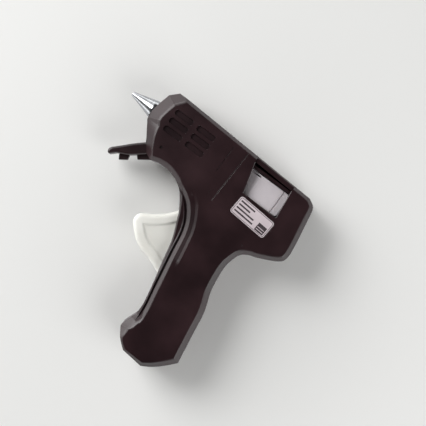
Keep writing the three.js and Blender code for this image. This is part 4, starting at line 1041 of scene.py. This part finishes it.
FLAT_ANGLE = math.radians(1)
EASED_ANGLE = math.radians(35)
EASED_CREASE = 50
CARRIAGE_SLOT = [(62.8, 119.25), (68.6, 119.25), (68.6, 119.95), (62.8, 119.95)]
CARRIAGE_SLOT_Z = (6.2, 11)


def softened(node, width):
    """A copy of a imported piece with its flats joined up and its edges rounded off."""
    copy = worked(merged_copy(node), lambda work: bmesh.ops.dissolve_limit(
        work, angle_limit=FLAT_ANGLE, verts=work.verts, edges=work.edges))
    copy.name = node + "_dressed"
    ease = copy.modifiers.new("ease", "BEVEL")
    ease.width = width * MM
    ease.segments = 2
    ease.limit_method = "ANGLE"
    ease.angle_limit = EASED_ANGLE
    ease.use_clamp_overlap = True
    return smoothed(baked(copy), EASED_CREASE)


def eased(node, width, look, slot, body="housing"):
    """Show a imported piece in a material, with its edges rounded off."""
    finished(softened(node, width), look, node, body=body, slot=slot)


carriage = carved(softened("carriage", 0.22), [prism("carriage_slot", CARRIAGE_SLOT, *CARRIAGE_SLOT_Z)])
# Natural acetal: milky, with a waxy surface and faint flow clouds.
milky_acetal = moulded("natural_acetal", "#D2CBCF", "#DED7DA", 12, 0.6, (0.32, 0.45), 0.02, scatter=0.1)
finished(carriage, milky_acetal, "carriage", body="carriage_group", slot="carriage_white")

# Blanked steel strip: a duller face with a fine random grain.
blanked_steel = bare_metal("blanked_steel", "#8F9193", "#B0B2B4", (0.3, 0.45), 0.35, 0.015)
eased("stick_clamp", 0.12, blanked_steel, "steel", body="clamp_group")
dress(drawn_steel, "clamp_pin")


# The feed lever. Moulded in the same acetal as the carriage, it rocks on a steel pin and carries the
# drive pin and the hook of the return spring. The spring is coiled from hard-drawn wire.

eased("feed_lever", 0.3, milky_acetal, "carriage_white", body="lever_group")
dress(drawn_steel, "lever_pin", "drive_pin")
# Spring wire: darker from its heat treatment, with a smooth drawn surface.
spring_wire = bare_metal("spring_wire", "#76787A", "#9C9EA0", (0.24, 0.36), 0.4, 0.008)
dress(spring_wire, "return_spring", "valve_spring")


# The nozzle. Turned and polished metal, a long cone with a small flat mouth and a collar at its root.
# Its ball valve keeps the melted glue from dripping.

MOUTH_RADIUS = 0.65
ROOT_RADIUS = 5.2
nozzle_rear = drawn_box("nozzle")[1].x
SPIGOT_RADIUS = 4.05
SEAT_X = nozzle_rear - 6
CAVITY_RADIUS = 2.2
CAVITY_FRONT = nozzle_rear - 11
NOZZLE_PROFILE = [
    (CAVITY_FRONT - CAVITY_RADIUS + MOUTH_RADIUS, MOUTH_RADIUS), (-14.5, MOUTH_RADIUS), (-14.7, 0.8),
    (-14.7, 1.1), (-14.62, 1.24), (-14.42, 1.33), (-13.2, 1.62), (-11, 2.2), (-8, 3.04), (-5, 3.93),
    (-2.4, 4.72), (-1.5, 5.0), (-1.1, 5.14), (-0.7, ROOT_RADIUS),
    (SEAT_X - 0.3, ROOT_RADIUS), (SEAT_X, 4.95), (SEAT_X, SPIGOT_RADIUS),
    (nozzle_rear - 0.3, SPIGOT_RADIUS), (nozzle_rear, SPIGOT_RADIUS - 0.3), (nozzle_rear, CAVITY_RADIUS),
    (CAVITY_FRONT, CAVITY_RADIUS),
]
NOZZLE_SIDES = 96
NOZZLE_CREASE = 28

nozzle = turned("nozzle_dressed", NOZZLE_PROFILE, NOZZLE_SIDES, closed=True)
# Polished turned metal. The tool's rings are drawn at 0.3 mm, coarser than real ones, so that they show.
turned_metal = bare_metal(
    "turned_bright_metal", "#A9ABAE", "#C9CBCE", (0.16, 0.26), 0.3, 0.012, stretch=(1, 0.02, 0.02))
finished(smoothed(nozzle, NOZZLE_CREASE), turned_metal, "nozzle", slot="nozzle_metal")
# Turned brass, left bare: warm, with fine rings.
dress(bare_metal("turned_brass", "#A98A4C", "#C8A864", (0.24, 0.36), 0.3, 0.01, (1, 0.1, 0.1)), "valve_seat")
# A bearing ball: ground and polished.
dress(bare_metal("ground_steel", "#BCBEC0", "#CDCFD1", (0.1, 0.16), 0.6, 0.002), "valve_ball")


# The melt chamber. A die-cast aluminium tube with a pocket below for the heater: a ceramic pill between
# two brass plates, wrapped in amber film. Phenolic collars hold it off the shells.

# Die-cast aluminium: dull, with the flow grain of the die.
cast_aluminium = bare_metal("die_cast_aluminium", "#8E9194", "#AEB1B4", (0.42, 0.6), 0.8, 0.06)
eased("melt_chamber", 0.3, cast_aluminium, "cast_metal")
# Phenolic resin: brown, hard, with specks of its wood filler.
brown_phenolic = moulded("moulded_phenolic", "#3A231A", "#533325", 1.2, 0.4, (0.35, 0.5), 0.04)
for node in ("front_collar", "rear_collar"):
    eased(node, 0.25, brown_phenolic, "phenolic")
# Amber polyimide film: glossy and slightly clear, over whatever lies under it.
amber_film = moulded("polyimide_film", "#A96A1E", "#C4832F", 4, 1.0, (0.16, 0.26), 0.03, 0.5, ior=1.7)
dress(amber_film, "insulation_sleeve")
# Fired ceramic: dark grey and matt, with a sandy grain.
fired_ceramic = moulded("fired_ceramic", "#34353A", "#47494E", 1.5, 0.25, (0.6, 0.75), 0.05)
eased("heater_pill", 0.15, fired_ceramic, "ceramic")
# Brass strip, stamped: fine lines along the strip.
rolled_brass = bare_metal("rolled_brass", "#B39350", "#CDAE69", (0.26, 0.38), 0.3, 0.01, stretch=(0.1, 1, 1))
for node in ("electrode_upper", "electrode_lower"):
    eased(node, 0.08, rolled_brass, "brass")


# The feed sleeve. A soft silicone funnel that leads the stick into the chamber, held by a spring clip.

# Cured silicone: cream, slightly clear, with a dull bloom.
cream_silicone = moulded(
    "cured_silicone", "#CFC6B6", "#DDD5C7", 6, 0.5, (0.5, 0.62), 0.03, specular=0.35, ior=1.43, scatter=0.15)
eased("feed_sleeve", 0.35, cream_silicone, "silicone")
eased("sleeve_clip", 0.12, blanked_steel, "steel")


# The leads. Two wires in varnished glass braid run from the heater down the grip to crimp caps, where
# the supply cord would join them.

BRAID_PITCH = 0.9
BRAID_TILT = (0.4, 0.3)
BRAID_TURN = 0.7
glass_braid, tree = new_material("varnished_glass_braid")
where = add(tree, "ShaderNodeTexCoord").outputs["Object"]
weave = []
for turn in (BRAID_TURN, -BRAID_TURN):
    laid = add(tree, "ShaderNodeMapping", {"Rotation": (*BRAID_TILT, turn), "Vector": where})
    weave.append(add(tree, "ShaderNodeTexWave", {
        "wave_type": "BANDS", "bands_direction": "Y", "Scale": 2 / (BRAID_PITCH * MM * math.tau),
        "Distortion": 0.6, "Vector": laid}).outputs["Fac"])
crossed = add(tree, "ShaderNodeMath", {"operation": "MAXIMUM", 0: weave[0], 1: weave[1]})
surface(tree, crossed, crossed, ("#B8AE9A", "#E8E4D8"), (0, 1), None, (0.5, 0.08), {"Roughness": 0.5})
dress(glass_braid, "heater_lead_1", "heater_lead_2")
# Nylon caps: clear-white and glossy.
cap_nylon = moulded("moulded_nylon", "#CDD0D2", "#DADCDE", 5, 0.4, (0.24, 0.34), 0.02, scatter=0.1)
for node in ("splice_cap_1", "splice_cap_2"):
    eased(node, 0.3, cap_nylon, "cap_white")


# The rating plate. A thin silver film stuck in a shallow recess. It carries no words: only a thin border,
# plain rules and a plain dark block with pale stripes.

LABEL_BASE, LABEL_TOP = (corner.z for corner in drawn_box("label"))
LABEL_CORNER = 1.4
LABEL_EDGE = 0.08
INK_OVERLAP = 0.01
INK_RISE = 0.02
BORDER_OUTSIDE = (0.9, 1.1)
BORDER_INSIDE = (1.4, 0.9)
RULES = [(-10, 3.1, 9.4), (-10, 1.1, 7.6), (-10, -0.9, 11.6), (-10, -2.9, 12.4)]
RULE_HEIGHT = 0.85
BLOCK = (7.5, -1.9, 5.4, 4.6)
BLOCK_STRIPES = (-1.2, 0.1)
STRIPE_MARGIN = 1
STRIPE_HEIGHT = 0.4


def on_label(x, y, length, height):
    """A rectangle whose middle lies at a place on the label."""
    cos, sin = math.cos(LABEL_TILT), math.sin(LABEL_TILT)
    centre = (LABEL_CENTRE[0] + x * cos - y * sin, LABEL_CENTRE[1] + x * sin + y * cos)
    return rectangle(centre, length, height, LABEL_TILT)


def inked(corners):
    return prism("ink", corners, LABEL_TOP - INK_OVERLAP, LABEL_TOP + INK_RISE)


def spared(corners):
    """A cutter that leaves the film bare."""
    return prism("spared", corners, LABEL_TOP - 1, LABEL_TOP + 1)


def frame_line(narrower, radius):
    """An outline parallel to the label's edge."""
    return rounded(rectangle(LABEL_CENTRE, *[side - narrower for side in LABEL_SIZE], LABEL_TILT), radius)


plate = rectangle(LABEL_CENTRE, *LABEL_SIZE, LABEL_TILT)
label = stacked("label_dressed", [
    (rounded(plate, LABEL_CORNER), LABEL_BASE), (rounded(plate, LABEL_CORNER), LABEL_TOP - LABEL_EDGE),
    (rounded(plate, LABEL_CORNER, -LABEL_EDGE), LABEL_TOP)])
# Silver-filled ink on film: a soft grey-pink sheen with a fine even sparkle.
silver_film = moulded("silver_printed_film", "#C6BABE", "#D2C7CB", 9, 0.25, (0.36, 0.48), 0.015, specular=0.5)
finished(smoothed(label), silver_film, "label", slot="label_silver")

label_print, *rules = [inked(on_label(x + length / 2, y, length, RULE_HEIGHT)) for x, y, length in RULES]
stripes = [
    spared(on_label(BLOCK[0], BLOCK[1] + y, BLOCK[2] - STRIPE_MARGIN, STRIPE_HEIGHT)) for y in BLOCK_STRIPES]
block = carved(inked(on_label(*BLOCK)), stripes)
border = carved(inked(frame_line(*BORDER_OUTSIDE)), [spared(frame_line(*BORDER_INSIDE))])
label_print.name = "label_print"
carved(label_print, [*rules, block, border], "UNION")
# Screen ink: nearly black, matt, a little uneven where it thins.
screen_ink = moulded("screen_ink", "#2A2226", "#453B40", 2, 0.3, (0.5, 0.65), 0.01)
finished(label_print, screen_ink, slot="label_silver")


# The housing screws. Five self-tapping steel screws with domed cross heads, driven from the right into
# bosses of the left shell. One is turned in code, and a tree sets it at the five places.

SCREW_HEAD_RADIUS = 2.6
SCREW_HEAD_HEIGHT = 1.9
SCREW_SHANK_RADIUS = 1.3
SCREW_CORE_RADIUS = 0.95
SCREW_PITCH = 1.1
SCREW_SIDES = 24
SCREW_CREASE = 40
HEAD_DEPTHS = [0.02, 0.1, 0.25, 0.5, 0.8, 1.2, 1.6, SCREW_HEAD_HEIGHT]
HEAD_SPREAD = 1.35
HEAD_CROWN = 2.2
THREAD_RINGS = 60
THREAD_SHARPNESS = 2.4
POINT_LENGTH = 2.2
POINT_RADIUS = 0.12
CROSS_SIZE = (3.1, 0.8)
CROSS_TURN = 0.4
CROSS_Z = (-0.1, 1)
RING_GAP = 0.01
screw_low, screw_high = drawn_box("screw_nose")
SCREW_LENGTH = screw_high.z - screw_low.z


def screw_radius(depth, turn):
    """The radius at a depth from the head's top and a share of a turn."""
    if depth <= SCREW_HEAD_HEIGHT:
        share = min(depth / SCREW_HEAD_HEIGHT * HEAD_SPREAD, 1)
        return SCREW_HEAD_RADIUS * math.sqrt(max(0.0, 1 - (1 - share) ** HEAD_CROWN))
    point = min(1.0, (SCREW_LENGTH - depth) / POINT_LENGTH)
    ridge = max(0.0, 1 - abs(((depth / SCREW_PITCH - turn) % 1) * 2 - 1) * THREAD_SHARPNESS)
    return max(POINT_RADIUS, (SCREW_CORE_RADIUS + ridge * (SCREW_SHANK_RADIUS - SCREW_CORE_RADIUS)) * point)


def turned_screw():
    """One screw at the frame's origin, with its head down."""
    start = SCREW_HEAD_HEIGHT + RING_GAP
    depths = [*HEAD_DEPTHS, *np.linspace(start, SCREW_LENGTH, THREAD_RINGS + 1)]
    points = []
    for depth in depths:
        for i, (x, y) in enumerate(circle(SCREW_SIDES)):
            r = screw_radius(depth, i / SCREW_SIDES)
            points.append((r * x, r * y, depth))
    screw = faced_outwards(mesh_object("screws", points, ring_faces(len(depths), SCREW_SIDES)))
    turns = (CROSS_TURN, CROSS_TURN + math.pi / 2)
    carved(screw, [prism("cross_arm", rectangle((0, 0), *CROSS_SIZE, turn), *CROSS_Z) for turn in turns])
    screw.data.transform(Matrix.Translation(-drawing_origin))
    return screw


# Zinc-plated steel, passivated: a cool bright grey with a faint bloom.
zinc_plate = bare_metal("zinc_plated_steel", "#9DA0A3", "#BDBFC1", (0.26, 0.4), 0.5, 0.01)
screw = turned_screw()
screw_places = mesh_object("screw_places", [(*place, screw_low.z) for place in SCREW_PLACES.values()], [])
screw_sizes = {"Places": screw_places, "Size": 1.0}
screw_tree, given, result = tree_inputs("screws_at_places", screw_sizes)
found = add(screw_tree, "GeometryNodeObjectInfo", {
    "transform_space": "ORIGINAL", "Object": given.outputs["Places"]})
repeated(screw_tree, result, {
    "Points": found.outputs["Geometry"], "Instance": given, "Scale": given.outputs["Size"]}, zinc_plate)
grown(screw, screw_tree, screw_sizes)
bpy.data.objects.remove(screw_places)
finished(smoothed(screw, SCREW_CREASE), zinc_plate, *SCREW_PLACES, slot="steel")
